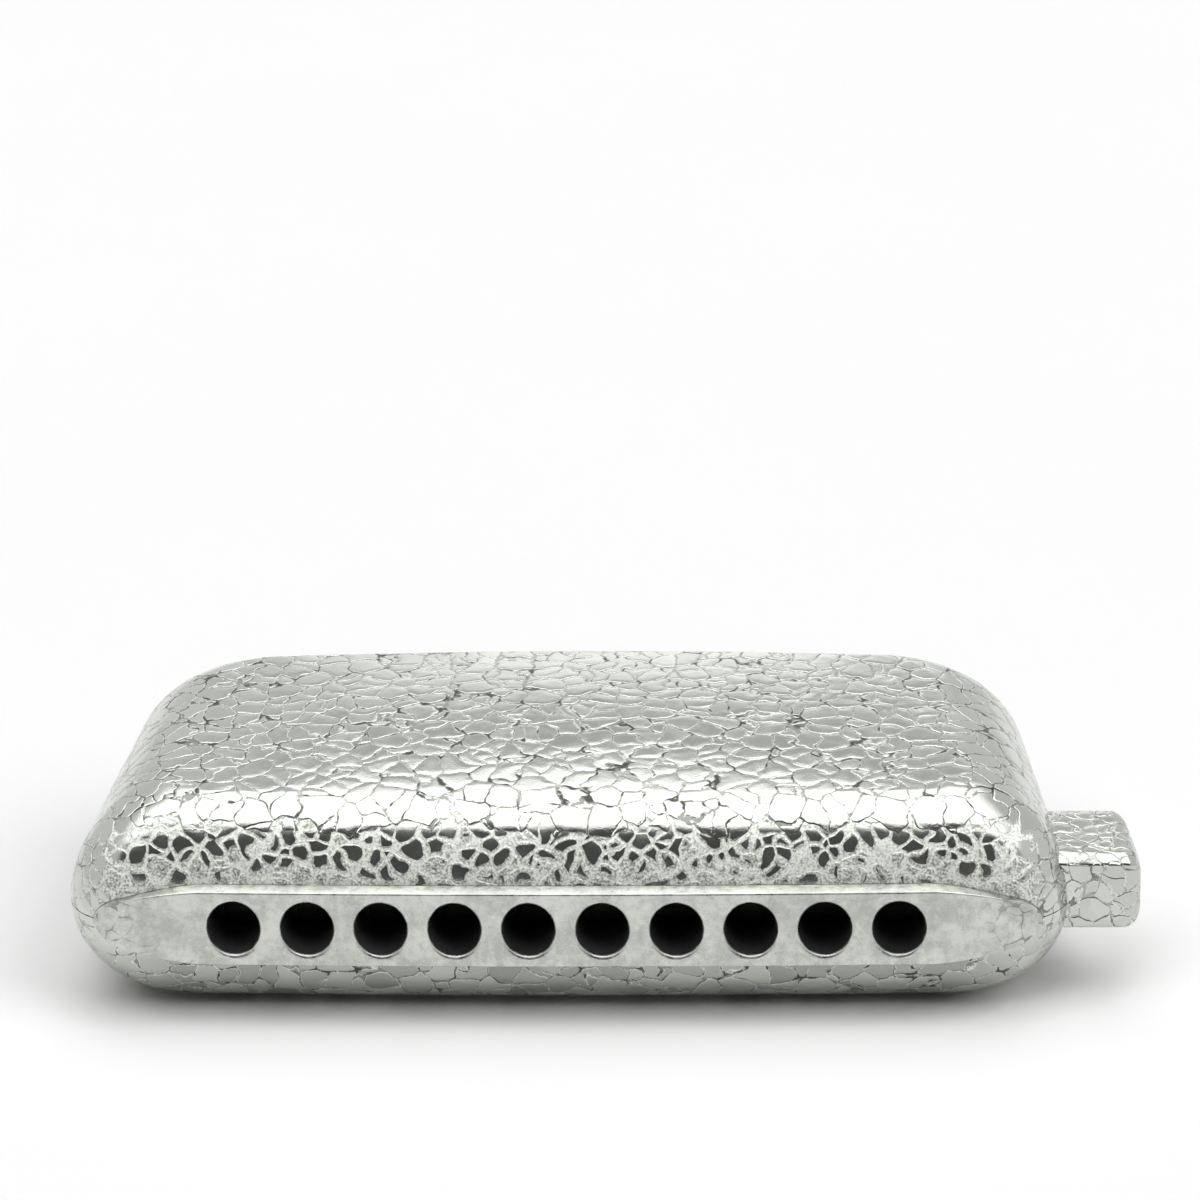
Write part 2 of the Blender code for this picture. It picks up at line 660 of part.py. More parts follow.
# Button: a rounded block pushed onto the slide's tang
button_rings = []
button_levels = [(button_inner, 0.0), (button_outer - BUTTON_ROUND, 0.0)]
for step in range(1, 4):
    angle = math.radians(30 * step)
    shrink = BUTTON_ROUND * 0.9 * (1 - math.cos(angle))
    button_levels.append((button_outer - BUTTON_ROUND * (1 - math.sin(angle)), shrink))
for x, shrink in button_levels:
    section = rounded_rectangle(
        button_front + shrink, button_back - shrink, button_low + shrink, button_high - shrink,
        BUTTON_EDGE + shrink / 3, 3)
    button_rings.append([(x, y, z) for y, z in section])
button_mesh = bmesh.new()
add_loft(button_mesh, button_rings)
slide_button = add_object("slide_button", button_mesh, crackle_silver)

button_cutter = bmesh.new()
grip_half = tang_half + FIT_GAP
tang_slot = rectangle(slide_front - FIT_GAP, slide_back + FIT_GAP, mid - grip_half, mid + grip_half)
add_prism(button_cutter, tang_slot, "x", button_inner - overrun, tang_end + FIT_GAP)
socket_radius = SPRING_RADIUS + SPRING_WIRE + FIT_GAP
socket = circle(spring_y, mid, socket_radius, 14)
add_prism(button_cutter, socket, "x", button_inner - overrun, button_inner + SPRING_SOCKET)
combine(slide_button, new_tool("button_socket_cutter", button_cutter), "DIFFERENCE")
set_origin(slide_button, slide_axis)


# Spring: a steel coil between the comb's flange and the button
spring_start = flange_half + FIT_GAP + SPRING_WIRE
spring_end = button_inner + SPRING_SOCKET - FIT_GAP - SPRING_WIRE
turn_points = 10
wire_sides = 6
spring_rings = []
for point in range(SPRING_TURNS * turn_points + 1):
    turn = 2 * math.pi * point / turn_points
    along = point / (SPRING_TURNS * turn_points)
    outward = Vector((0.0, math.cos(turn), math.sin(turn)))
    x = spring_start + (spring_end - spring_start) * along
    centre = Vector((x, spring_y, mid)) + outward * SPRING_RADIUS
    ring = []
    for side in range(wire_sides):
        angle = 2 * math.pi * side / wire_sides
        sideways = Vector((math.sin(angle), 0.0, 0.0))
        ring.append(centre + (outward * math.cos(angle) + sideways) * SPRING_WIRE)
    spring_rings.append(ring)
spring_mesh = bmesh.new()
add_loft(spring_mesh, spring_rings)
add_object("slide_spring", spring_mesh, steel)


# Screws: turned steel, a plain head on a shank
def make_screw(name, place, axis, head_radius, head_height, shank_radius, length):
    direction = Vector(axis)
    across = direction.orthogonal().normalized()
    other = direction.cross(across)
    rings = []
    profile = [(-head_height, head_radius), (0.0, head_radius)]
    profile += [(0.0, shank_radius), (length, shank_radius)]
    for along, radius in profile:
        ring = []
        for side in range(12):
            angle = 2 * math.pi * (side + 0.5) / 12
            offset = across * math.cos(angle) + other * math.sin(angle)
            ring.append(Vector(place) + direction * along + offset * radius)
        rings.append(ring)
    mesh_data = bmesh.new()
    add_loft(mesh_data, rings)
    add_object(name, mesh_data, steel)


mouth_head = comb_front + FLANGE_DEPTH + FIT_GAP
plate_head = plate_outer + FIT_GAP
plate_reach = FIT_GAP + PLATE_THICKNESS + PLATE_SCREW_LENGTH - FIT_GAP
for sign, hand in ((-1, "left"), (1, "right")):
    place = (sign * boss_x, boss_y, screw_head_high)
    make_screw("cover_screw_" + hand, place, (0, 0, 1), COVER_SCREW_HEAD,
               screw_head_high - screw_head_low, COVER_SCREW_RADIUS, screw_tip - screw_head_high)
    place = (sign * mouth_screw_x, mouth_head, mid)
    make_screw("mouthpiece_screw_" + hand, place, (0, -1, 0), MOUTH_SCREW_HEAD,
               MOUTH_SCREW_RADIUS * 1.6, MOUTH_SCREW_RADIUS, mouth_head - mouth_back + thread_depth)
    for side, level in ((1, "upper"), (-1, "lower")):
        place = (sign * plate_screw_x, plate_screw_y[side], mid + side * plate_head)
        make_screw(level + "_plate_screw_" + hand, place, (0, 0, -side), PLATE_SCREW_HEAD,
                   PLATE_SCREW_RADIUS, PLATE_SCREW_RADIUS, plate_reach)
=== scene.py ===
# Ten-hole chromatic harmonica in crackled silver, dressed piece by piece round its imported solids.
# Sizes are in metres, the blow holes face -Y, and the slide's button stands out of the +X end.
import math

import bmesh
import bpy
import numpy as np
from mathutils import Matrix, Vector, noise


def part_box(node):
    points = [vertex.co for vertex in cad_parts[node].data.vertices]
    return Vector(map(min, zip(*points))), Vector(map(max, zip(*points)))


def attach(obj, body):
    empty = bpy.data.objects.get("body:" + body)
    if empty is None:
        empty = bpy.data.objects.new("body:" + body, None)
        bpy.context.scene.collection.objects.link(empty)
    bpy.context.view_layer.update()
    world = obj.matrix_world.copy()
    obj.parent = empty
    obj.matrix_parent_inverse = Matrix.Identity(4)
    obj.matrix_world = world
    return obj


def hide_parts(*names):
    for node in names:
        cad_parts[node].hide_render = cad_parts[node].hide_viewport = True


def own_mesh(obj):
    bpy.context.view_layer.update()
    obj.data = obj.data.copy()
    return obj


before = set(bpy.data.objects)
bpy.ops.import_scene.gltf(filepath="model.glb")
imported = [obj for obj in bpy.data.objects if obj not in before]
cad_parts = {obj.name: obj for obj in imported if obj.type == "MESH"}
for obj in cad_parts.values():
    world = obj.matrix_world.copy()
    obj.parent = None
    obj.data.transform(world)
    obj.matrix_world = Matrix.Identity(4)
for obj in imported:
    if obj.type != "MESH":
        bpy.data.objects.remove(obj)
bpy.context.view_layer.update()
scene = bpy.context.scene


# Comb: the moulded black plastic block with the air chambers, at the heart of the instrument.
# It is injection moulded, so its skin is even, with a faint grain left by the mould.
MILLIMETRE = 0.001


def link_or_set(tree, socket, value):
    if isinstance(value, bpy.types.NodeSocket):
        tree.links.new(value, socket)
    else:
        socket.default_value = value


def add_math(tree, operation, *values):
    node = tree.nodes.new("ShaderNodeMath")
    node.operation = operation
    for socket, value in zip(node.inputs, values):
        link_or_set(tree, socket, value)
    return node.outputs[0]


def add_vector_math(tree, operation, first, second):
    node = tree.nodes.new("ShaderNodeVectorMath")
    node.operation = operation
    link_or_set(tree, node.inputs[0], first)
    link_or_set(tree, node.inputs["Scale"] if operation == "SCALE" else node.inputs[1], second)
    return node.outputs["Value"] if operation == "DOT_PRODUCT" else node.outputs["Vector"]


def add_range(tree, value, low, high, to_low=0.0, to_high=1.0):
    node = tree.nodes.new("ShaderNodeMapRange")
    node.interpolation_type = "SMOOTHSTEP"
    for socket, entry in zip(node.inputs, (value, low, high, to_low, to_high)):
        link_or_set(tree, socket, entry)
    return node.outputs[0]


def add_noise(tree, place, per_millimetre, detail=3.0):
    node = tree.nodes.new("ShaderNodeTexNoise")
    node.inputs["Scale"].default_value = per_millimetre
    node.inputs["Detail"].default_value = detail
    tree.links.new(place, node.inputs["Vector"])
    return node.outputs["Fac"]


def add_colour_mix(tree, share, first, second):
    node = tree.nodes.new("ShaderNodeMix")
    node.data_type = "RGBA"
    link_or_set(tree, node.inputs["Factor"], share)
    link_or_set(tree, node.inputs["A"], first)
    link_or_set(tree, node.inputs["B"], second)
    return node.outputs["Result"]


def grey(level):
    return (level, level, level, 1.0)


def start_material(name, metallic):
    material = bpy.data.materials.new(name)
    material.use_nodes = True
    tree = material.node_tree
    shader = tree.nodes["Principled BSDF"]
    shader.inputs["Metallic"].default_value = metallic
    place = tree.nodes.new("ShaderNodeTexCoord").outputs["Object"]
    millimetres = add_vector_math(tree, "SCALE", place, 1 / MILLIMETRE)
    return material, tree, shader, millimetres


def add_relief(tree, shader, height, depth, strength):
    bump = tree.nodes.new("ShaderNodeBump")
    bump.inputs["Strength"].default_value = strength
    bump.inputs["Distance"].default_value = depth
    tree.links.new(height, bump.inputs["Height"])
    tree.links.new(bump.outputs["Normal"], shader.inputs["Normal"])


def worked_material(name, dark, light, roughness, metallic, grain, relief):
    material, tree, shader, millimetres = start_material(name, metallic)
    stretched = add_vector_math(tree, "MULTIPLY", millimetres, grain)
    fine = add_noise(tree, stretched, 1.0, 4.0)
    patches = add_noise(tree, millimetres, 0.12, 3.0)
    share = add_range(tree, add_math(tree, "ADD", fine, patches), 0.7, 1.3)
    tree.links.new(add_colour_mix(tree, share, dark, light), shader.inputs["Base Color"])
    rough = add_range(tree, fine, 0.3, 0.7, roughness[0], roughness[1])
    tree.links.new(rough, shader.inputs["Roughness"])
    add_relief(tree, shader, fine, relief, 0.4)
    return material


def refinish(node_name, material):
    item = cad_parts[node_name]
    item.data.materials.clear()
    item.data.materials.append(material)


moulded_black = worked_material(
    "moulded_black", grey(0.018), grey(0.032), (0.42, 0.6), 0.0, (3.0, 3.0, 3.0), 0.00002)
refinish("comb", moulded_black)


# Reed plates and reeds: rolled brass sheet, slotted under every reed and lightly tarnished.
# Each reed is a filed brass tongue, riveted through its plate.
plate_brass = worked_material(
    "plate_brass", (0.50, 0.34, 0.12, 1.0), (0.72, 0.53, 0.24, 1.0), (0.24, 0.42), 1.0,
    (0.15, 4.0, 4.0), 0.00001)
reed_brass = worked_material(
    "reed_brass", (0.60, 0.42, 0.17, 1.0), (0.80, 0.62, 0.30, 1.0), (0.18, 0.34), 1.0,
    (6.0, 0.2, 6.0), 0.00001)
for plate_name in ("upper_reed_plate", "lower_reed_plate"):
    refinish(plate_name, plate_brass)
for row in ("natural", "sharp"):
    for breath in ("blow", "draw"):
        for number in range(1, 11):
            refinish("%s_%s_reed_%02d" % (row, breath, number), reed_brass)


# Slide stack: cage, slide and bed are stamped steel sheets, blackened against rust.
# They lie between the mouthpiece and the comb, and only the slide moves.
blackened_steel = worked_material(
    "blackened_steel", grey(0.03), grey(0.075), (0.34, 0.55), 1.0, (0.2, 5.0, 5.0), 0.00001)
for sheet_name in ("slide_cage", "slide", "slide_bed"):
    refinish(sheet_name, blackened_steel)


# Slide bumper: a soft black sleeve on the mouthpiece screw, which quiets the slide's two stops.
# It is moulded from rubber and pushed over the screw's shank before the stack is closed.
bumper_rubber = worked_material(
    "bumper_rubber", grey(0.012), grey(0.025), (0.7, 0.9), 0.0, (2.0, 2.0, 2.0), 0.00003)
refinish("slide_bumper", bumper_rubber)


# Return spring: a coil of hard drawn steel wire between the comb's flange and the button.
# It closes up as the button is pressed, but here it is one fixed coil carried with the casing.
SPRING_START = 0.05655
SPRING_END = 0.06575
SPRING_AXIS = (-0.0157, 0.0155)
SPRING_RADIUS = 0.0016
SPRING_WIRE = 0.00025
SPRING_TURNS = 6
TURN_POINTS = 36
WIRE_SIDES = 12


def new_piece(name, mesh, material, body, slot, *nodes):
    mesh.materials.clear()
    mesh.materials.append(material)
    piece = bpy.data.objects.new(name, mesh)
    scene.collection.objects.link(piece)
    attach(piece, body)
    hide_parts(*nodes)
    return piece


def loft_mesh(name, rings):
    count = len(rings[0])
    points = [tuple(point) for ring in rings for point in ring]
    faces = []
    for row in range(len(rings) - 1):
        for index in range(count):
            after = (index + 1) % count
            low = row * count
            faces.append((low + index, low + after, low + count + after, low + count + index))
    faces.append(tuple(range(count - 1, -1, -1)))
    faces.append(tuple(range(len(points) - count, len(points))))
    mesh = bpy.data.meshes.new(name)
    mesh.from_pydata(points, [], faces)
    tidy = bmesh.new()
    tidy.from_mesh(mesh)
    bmesh.ops.recalc_face_normals(tidy, faces=tidy.faces)
    tidy.to_mesh(mesh)
    tidy.free()
    mesh.shade_smooth()
    return mesh


spring_rings = []
for point in range(SPRING_TURNS * TURN_POINTS + 1):
    turn = 2 * math.pi * point / TURN_POINTS
    along = point / (SPRING_TURNS * TURN_POINTS)
    outward = Vector((0.0, math.cos(turn), math.sin(turn)))
    centre = Vector((SPRING_START + (SPRING_END - SPRING_START) * along, *SPRING_AXIS))
    centre += outward * SPRING_RADIUS
    ring = []
    for side in range(WIRE_SIDES):
        angle = 2 * math.pi * side / WIRE_SIDES
        sideways = Vector((math.sin(angle), 0.0, 0.0))
        ring.append(centre + (outward * math.cos(angle) + sideways) * SPRING_WIRE)
    spring_rings.append(ring)
drawn_wire = worked_material(
    "drawn_wire", grey(0.42), grey(0.62), (0.2, 0.35), 1.0, (4.0, 0.6, 0.6), 0.00001)
spring_mesh = loft_mesh("return_spring", spring_rings)
spring_mesh.set_sharp_from_angle(angle=math.radians(50))
return_spring = new_piece(
    "return_spring", spring_mesh, drawn_wire, "casing", "screw_steel", "slide_spring")
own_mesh(return_spring)


# Screws: turned steel with a slotted cheese head and a cut thread.
# Two close the casing from below, two hold the mouthpiece and four the reed plates.
SCREW_SIDES = 40
THREAD_PITCH = 0.00035
THREAD_DEPTH = 0.00012
HEAD_EDGE = 0.15
SLOT_HALF_WIDTH = 0.14
SLOT_LEVELS = (-1.5, -0.45)
SLOT_REACH = 1.5
SCREW_POINT = 0.7
COVER_SCREW_X = 0.03572
COVER_SCREW_Y = 0.0171


def cut_mesh(name, mesh, cutters, added=()):
    body = bpy.data.objects.new(name, mesh)
    scene.collection.objects.link(body)
    steps = [("UNION", shape) for shape in added]
    steps += [("DIFFERENCE", shape) for shape in cutters]
    tools = []
    for operation, shape in steps:
        tool = bpy.data.objects.new(name + "_tool", shape)
        scene.collection.objects.link(tool)
        tools.append(tool)
        step = body.modifiers.new("cut", "BOOLEAN")
        step.operation = operation
        step.solver = "MANIFOLD"
        step.object = tool
    graph = bpy.context.evaluated_depsgraph_get()
    result = bpy.data.meshes.new_from_object(body.evaluated_get(graph))
    for spent in [body] + tools:
        bpy.data.objects.remove(spent)
    result.shade_smooth()
    return result


def screw_mesh(name, place, axis, head_radius, head_height, shank_radius, length):
    direction = Vector(axis)
    across = direction.orthogonal().normalized()
    other = direction.cross(across)
    edge = HEAD_EDGE * head_height
    profile = [(-head_height, head_radius - edge), (edge - head_height, head_radius)]
    profile += [(0.0, head_radius), (0.0, shank_radius)]
    turns = int(length / THREAD_PITCH)
    for turn in range(1, turns):
        profile.append((turn * THREAD_PITCH - 0.5 * THREAD_PITCH, shank_radius - THREAD_DEPTH))
        profile.append((turn * THREAD_PITCH, shank_radius))
    profile.append((length, SCREW_POINT * shank_radius))
    rings = []
    for along, radius in profile:
        ring = []
        for side in range(SCREW_SIDES):
            angle = 2 * math.pi * side / SCREW_SIDES
            offset = across * math.cos(angle) + other * math.sin(angle)
            ring.append(Vector(place) + direction * along + offset * radius)
        rings.append(ring)
    slot_rings = []
    for level in SLOT_LEVELS:
        ring = []
        for a, b in ((-1, -1), (1, -1), (1, 1), (-1, 1)):
            offset = (across * a * SLOT_REACH + other * b * SLOT_HALF_WIDTH) * head_radius
            ring.append(Vector(place) + direction * level * head_height + offset)
        slot_rings.append(ring)
    turned = loft_mesh(name, rings)
    cut = cut_mesh(name, turned, [loft_mesh(name + "_slot", slot_rings)])
    cut.set_sharp_from_angle(angle=math.radians(30))
    return cut


turned_steel = worked_material(
    "turned_steel", grey(0.40), grey(0.58), (0.22, 0.38), 1.0, (5.0, 5.0, 5.0), 0.00001)
# Each kind of screw: its axis, head radius, head height, shank radius and length under the head
cover_screw = ((0, 0, 1), 0.0018, 0.0012, 0.001, 0.022875)
mouth_screw = ((0, -1, 0), 0.0016, 0.00128, 0.0008, 0.01228)
upper_plate_screw = ((0, 0, -1), 0.0014, 0.0007, 0.0007, 0.004)
lower_plate_screw = ((0, 0, 1), 0.0014, 0.0007, 0.0007, 0.004)
for hand, sign in (("left", -1), ("right", 1)):
    screws = (
        ("cover_screw_", (COVER_SCREW_X, COVER_SCREW_Y, 0.0018), cover_screw),
        ("mouthpiece_screw_", (0.05375, -0.0134, 0.0155), mouth_screw),
        ("upper_plate_screw_", (0.04885, 0.00245, 0.0211), upper_plate_screw),
        ("lower_plate_screw_", (0.04885, -0.00685, 0.0099), lower_plate_screw))
    for kind, place, sizes in screws:
        spot = (sign * place[0], place[1], place[2])
        mesh = screw_mesh("slotted_" + kind + hand, spot, *sizes)
        new_piece("slotted_" + kind + hand, mesh, turned_steel, "casing", "screw_steel", kind + hand)


# Casing covers: two shells pressed from sheet, rolled over all round and meeting at the middle.
# The outside is crackled: polished silver scales, each a low dome, parted by matte hairline cracks.
MID = 0.0155
FRONT_HALF = 0.06498
REAR_HALF = 0.0596
DEPTH_HALF = 0.028
COVER_WALL = 0.0012
FRONT_CORNER = 0.0075
REAR_CORNER = 0.010
END_ROLL = 0.0145
FRONT_ROLL = 0.0093
REAR_ROLL = 0.0045
CROWN = 0.001
ROLL_END = math.radians(87)
FRONT_BOW = 0.0012
REAR_BOW = 0.0028
SEAM = 0.00002
LONG_STEPS = 270
SHORT_STEPS = 120
WALL_STEPS = 46
INNER_STEPS = 8
SCALE_SIZE = 3.4
SCALE_WARP = 2.6
WARP_PER_MILLIMETRE = 0.3
SCALE_EDGE = 0.8
SCALE_RISE = 0.045
SCALE_TILT = 0.011
PEBBLE_SIZE = 2.3
CORNER_SPAN = (0.5, 0.95)
CORNER_ROUND = 0.14
PEBBLE_ROUND = 0.35
LEAST_SINK = 0.035
# Zones of the crackle in millimetres, each from where it starts to where it is full
WORN_TOP = (27.5, 27.3)
WORN_BOTTOM = (17.0, 18.0)
WORN_FRONT = (-20.5, -22.0)
WORN_ENDS = (60.5, 58.5)
WORN_THROUGH = (25.2, 21.9)
FINE_TIPS = (59.0, 60.0)
SOFT_ENDS = (54.0, 60.0)
SOFT_TOP = (29.6, 30.1)
# Painted shade: heights where the scales start to darken towards the table and are fully darkened, and
# how far along the casing it reaches
SIDE_PAINTED_SHADE = (13.0, 9.0)
FOOT_PAINTED_SHADE = (7.0, 2.0)
PAINTED_SHADE_ENDS = (50.0, 62.0)


def rounded_corners(corners, radii, steps):
    points = []
    for index, corner in enumerate(corners):
        here = Vector(corner)
        back = (Vector(corners[index - 1]) - here).normalized()
        ahead = (Vector(corners[(index + 1) % len(corners)]) - here).normalized()
        half_angle = back.angle(ahead) / 2
        centre = here + (back + ahead).normalized() * radii[index] / math.sin(half_angle)
        start = (here + back * radii[index] / math.tan(half_angle) - centre).normalized()
        finish = (here + ahead * radii[index] / math.tan(half_angle) - centre).normalized()
        for step in range(steps + 1):
            points.append(tuple(centre + start.slerp(finish, step / steps) * radii[index]))
    return points


# Four sides from corner to corner, evenly stepped; facing sides have the same number of steps
def four_sided_outline(corners, radii, long_steps, short_steps):
    arc_steps = 24
    line = np.array(rounded_corners(corners, radii, arc_steps))
    middles = [corner * (arc_steps + 1) + arc_steps // 2 for corner in range(4)]
    around = np.vstack([line, line])
    sides = []
    for corner in range(4):
        first = middles[corner]
        last = middles[(corner + 1) % 4] + (len(line) if corner == 3 else 0)
        stretch = around[first:last + 1]
        lengths = np.r_[0.0, np.cumsum(np.linalg.norm(np.diff(stretch, axis=0), axis=1))]
        steps = long_steps if corner % 2 == 0 else short_steps
        even = np.linspace(0.0, lengths[-1], steps + 1)[:-1]
        sides.append(np.column_stack([np.interp(even, lengths, stretch[:, axis]) for axis in (0, 1)]))
    return np.vstack(sides)


def casing_outline(inset):
    front = FRONT_HALF - inset
    rear = REAR_HALF - inset
    deep = DEPTH_HALF - inset
    corners = [(-front, -deep), (front, -deep), (rear, deep), (-rear, deep)]
    radii = [FRONT_CORNER - inset] * 2 + [REAR_CORNER - inset] * 2
    outline = four_sided_outline(corners, radii, LONG_STEPS, SHORT_STEPS)
    bow = np.where(outline[:, 1] < 0, FRONT_BOW, REAR_BOW)
    outline[:, 1] *= 1 - bow / DEPTH_HALF * (outline[:, 0] / FRONT_HALF) ** 2
    return outline


def casing_ring(outline, angle, height):
    roll = 1 - math.cos(angle)
    side_roll = np.where(outline[:, 1] < 0, FRONT_ROLL, REAR_ROLL)
    wide = outline[:, 0] * (1 - END_ROLL / FRONT_HALF * roll)
    deep = outline[:, 1] * (1 - side_roll / DEPTH_HALF * roll)
    return np.column_stack([wide, deep, np.full(len(outline), height)])


# A sheet stretched over a four-sided ring, as rows from its first side to its third
def stretched_sheet(ring, long_steps, short_steps):
    closed = np.vstack([ring, ring[:1]])
    front = closed[:long_steps + 1]
    right = closed[long_steps:long_steps + short_steps + 1]
    rear = closed[long_steps + short_steps:2 * long_steps + short_steps + 1][::-1]
    left = closed[2 * long_steps + short_steps:][::-1]
    u = np.linspace(0, 1, long_steps + 1)[None, :, None]
    v = np.linspace(0, 1, short_steps + 1)[:, None, None]
    ruled = (1 - v) * front[None] + v * rear[None] + (1 - u) * left[:, None] + u * right[:, None]
    ruled -= (1 - u) * ((1 - v) * front[0] + v * rear[0]) + u * ((1 - v) * front[-1] + v * rear[-1])
    return ruled


def sheet_swell(long_steps, short_steps):
    u = np.linspace(0, 1, long_steps + 1)[None, :]
    v = np.linspace(0, 1, short_steps + 1)[:, None]
    return 16 * u * (1 - u) * v * (1 - v)


# A closed shell: the stretched sheet, the outer wall's rings, and inner rings closed by one face
def shell_mesh(name, sheet, outer, inner, long_steps, short_steps):
    count = 2 * (long_steps + short_steps)
    inside = sheet[1:-1, 1:-1].reshape(-1, 3)
    points = np.vstack(outer + inner + [inside])
    faces = []
    rows = len(outer) + len(inner)
    for row in range(rows - 1):
        for index in range(count):
            after = (index + 1) % count
            low = row * count
            faces.append((low + index, low + after, low + count + after, low + count + index))
    faces.append(tuple(range((rows - 1) * count, rows * count)))
    grid = np.zeros((short_steps + 1, long_steps + 1), int)
    grid[1:-1, 1:-1] = rows * count + np.arange(len(inside)).reshape(short_steps - 1, long_steps - 1)
    grid[0, :] = np.arange(long_steps + 1)
    grid[:, -1] = np.arange(long_steps, long_steps + short_steps + 1)
    grid[-1, ::-1] = np.arange(long_steps + short_steps, 2 * long_steps + short_steps + 1)
    grid[1:, 0] = np.arange(count - 1, 2 * long_steps + short_steps - 1, -1)
    for low, high in zip(grid[:-1], grid[1:]):
        faces.extend(zip(low[:-1].tolist(), low[1:].tolist(), high[1:].tolist(), high[:-1].tolist()))
    mesh = bpy.data.meshes.new(name)
    mesh.from_pydata(points.tolist(), [], faces)
    outside = np.zeros(len(points), np.float32)
    outside[:len(outer) * count] = 1.0
    outside[rows * count:] = 1.0
    mesh.attributes.new("outside", "FLOAT", "POINT").data.foreach_set("value", outside)
    tidy = bmesh.new()
    tidy.from_mesh(mesh)
    bmesh.ops.recalc_face_normals(tidy, faces=tidy.faces)
    tidy.to_mesh(mesh)
    tidy.free()
    mesh.shade_smooth()
    return mesh


# One layer of scales: the distance to the nearest crack in millimetres, with the corners rounded off,
# the scale's own random colour and its middle
def add_scales(tree, swayed, size, corner_round):
    cracks = tree.nodes.new("ShaderNodeTexVoronoi")
    cracks.feature = "DISTANCE_TO_EDGE"
    cells = tree.nodes.new("ShaderNodeTexVoronoi")
    cells.feature = "F1"
    for node in (cracks, cells):
        node.inputs["Scale"].default_value = 1 / size
        tree.links.new(swayed, node.inputs["Vector"])
    edge = add_math(tree, "MULTIPLY", cracks.outputs["Distance"], size)
    corner = add_range(tree, cells.outputs["Distance"], *CORNER_SPAN, 0.0, corner_round)
    edge = add_math(tree, "MAXIMUM", add_math(tree, "SUBTRACT", edge, corner), 0.0)
    return edge, cells.outputs["Color"], cells.outputs["Position"]


# The crackle pattern, the same in the relief of the sheet and in its finish. Small pebbles take the
# place of the scales on the worn front wall, and small scales at the tips of the casing
def add_crackle(tree, millimetres):
    warp = tree.nodes.new("ShaderNodeTexNoise")
    warp.inputs["Scale"].default_value = WARP_PER_MILLIMETRE
    warp.inputs["Detail"].default_value = 1.0
    tree.links.new(millimetres, warp.inputs["Vector"])
    sway = add_vector_math(tree, "SUBTRACT", warp.outputs["Color"], (0.5, 0.5, 0.5))
    swayed = add_vector_math(tree, "ADD", millimetres, add_vector_math(tree, "SCALE", sway, SCALE_WARP))
    axes = tree.nodes.new("ShaderNodeSeparateXYZ")
    tree.links.new(add_vector_math(tree, "ADD", millimetres, sway), axes.inputs[0])
    low = add_range(tree, axes.outputs["Z"], *WORN_BOTTOM)
    fore = add_range(tree, axes.outputs["Y"], *WORN_FRONT)
    wide = add_math(tree, "ABSOLUTE", axes.outputs["X"])
    within = add_range(tree, wide, *WORN_ENDS)
    edge, colour, middle = add_scales(tree, swayed, SCALE_SIZE, CORNER_ROUND)
    middle_axes = tree.nodes.new("ShaderNodeSeparateXYZ")
    tree.links.new(middle, middle_axes.inputs[0])
    high = add_range(tree, middle_axes.outputs["Z"], *WORN_TOP)
    wall = add_math(tree, "MULTIPLY", add_math(tree, "MULTIPLY", high, low), fore)
    wall = add_math(tree, "MULTIPLY", wall, within)
    tips = add_range(tree, wide, *FINE_TIPS)
    corner_round = add_range(tree, tips, 0.0, 1.0, PEBBLE_ROUND, CORNER_ROUND)
    small_edge, small_colour = add_scales(tree, swayed, PEBBLE_SIZE, corner_round)[:2]
    apart = add_math(tree, "SUBTRACT", small_edge, edge)
    edge = add_math(tree, "MULTIPLY_ADD", apart, add_math(tree, "MAXIMUM", wall, tips), edge)
    away = add_vector_math(tree, "SUBTRACT", swayed, middle)
    return {
        "edge": edge, "colour": colour, "away": away, "wall": wall, "pebble_colour": small_colour,
        "height": axes.outputs["Z"], "wide": wide}


def relief_group():
    group = bpy.data.node_groups.new("crackle_relief", "GeometryNodeTree")
    group.interface.new_socket("Geometry", in_out="INPUT", socket_type="NodeSocketGeometry")
    group.interface.new_socket("Geometry", in_out="OUTPUT", socket_type="NodeSocketGeometry")
    start = group.nodes.new("NodeGroupInput")
    end = group.nodes.new("NodeGroupOutput")
    place = group.nodes.new("GeometryNodeInputPosition").outputs[0]
    millimetres = add_vector_math(group, "SCALE", place, 1 / MILLIMETRE)
    crackle = add_crackle(group, millimetres)
    share = add_math(group, "MINIMUM", add_math(group, "DIVIDE", crackle["edge"], SCALE_EDGE), 1.0)
    fall = add_math(group, "POWER", add_math(group, "SUBTRACT", 1.0, share), 2.0)
    tip = add_vector_math(group, "SUBTRACT", crackle["colour"], (0.5, 0.5, 0.5))
    tilt = add_vector_math(group, "DOT_PRODUCT", tip, crackle["away"])
    tilt = add_math(group, "MULTIPLY", tilt, SCALE_TILT * 2)
    tilt = add_math(group, "MULTIPLY", tilt, share)
    lowest = add_math(group, "MULTIPLY", fall, -SCALE_RISE)
    level = add_math(group, "SUBTRACT", add_math(group, "ADD", lowest, tilt), SCALE_RISE)
    level = add_math(group, "MINIMUM", level, -LEAST_SINK)
    outside = group.nodes.new("GeometryNodeInputNamedAttribute")
    outside.data_type = "FLOAT"
    outside.inputs["Name"].default_value = "outside"
    level = add_math(group, "MULTIPLY", level, outside.outputs["Attribute"])
    level = add_math(group, "MULTIPLY", level, MILLIMETRE)
    normal = group.nodes.new("GeometryNodeInputNormal").outputs[0]
    move = add_vector_math(group, "SCALE", normal, level)
    shift = group.nodes.new("GeometryNodeSetPosition")
    group.links.new(start.outputs[0], shift.inputs["Geometry"])
    group.links.new(move, shift.inputs["Offset"])
    group.links.new(shift.outputs[0], end.inputs[0])
    return group


crackle_relief = relief_group()


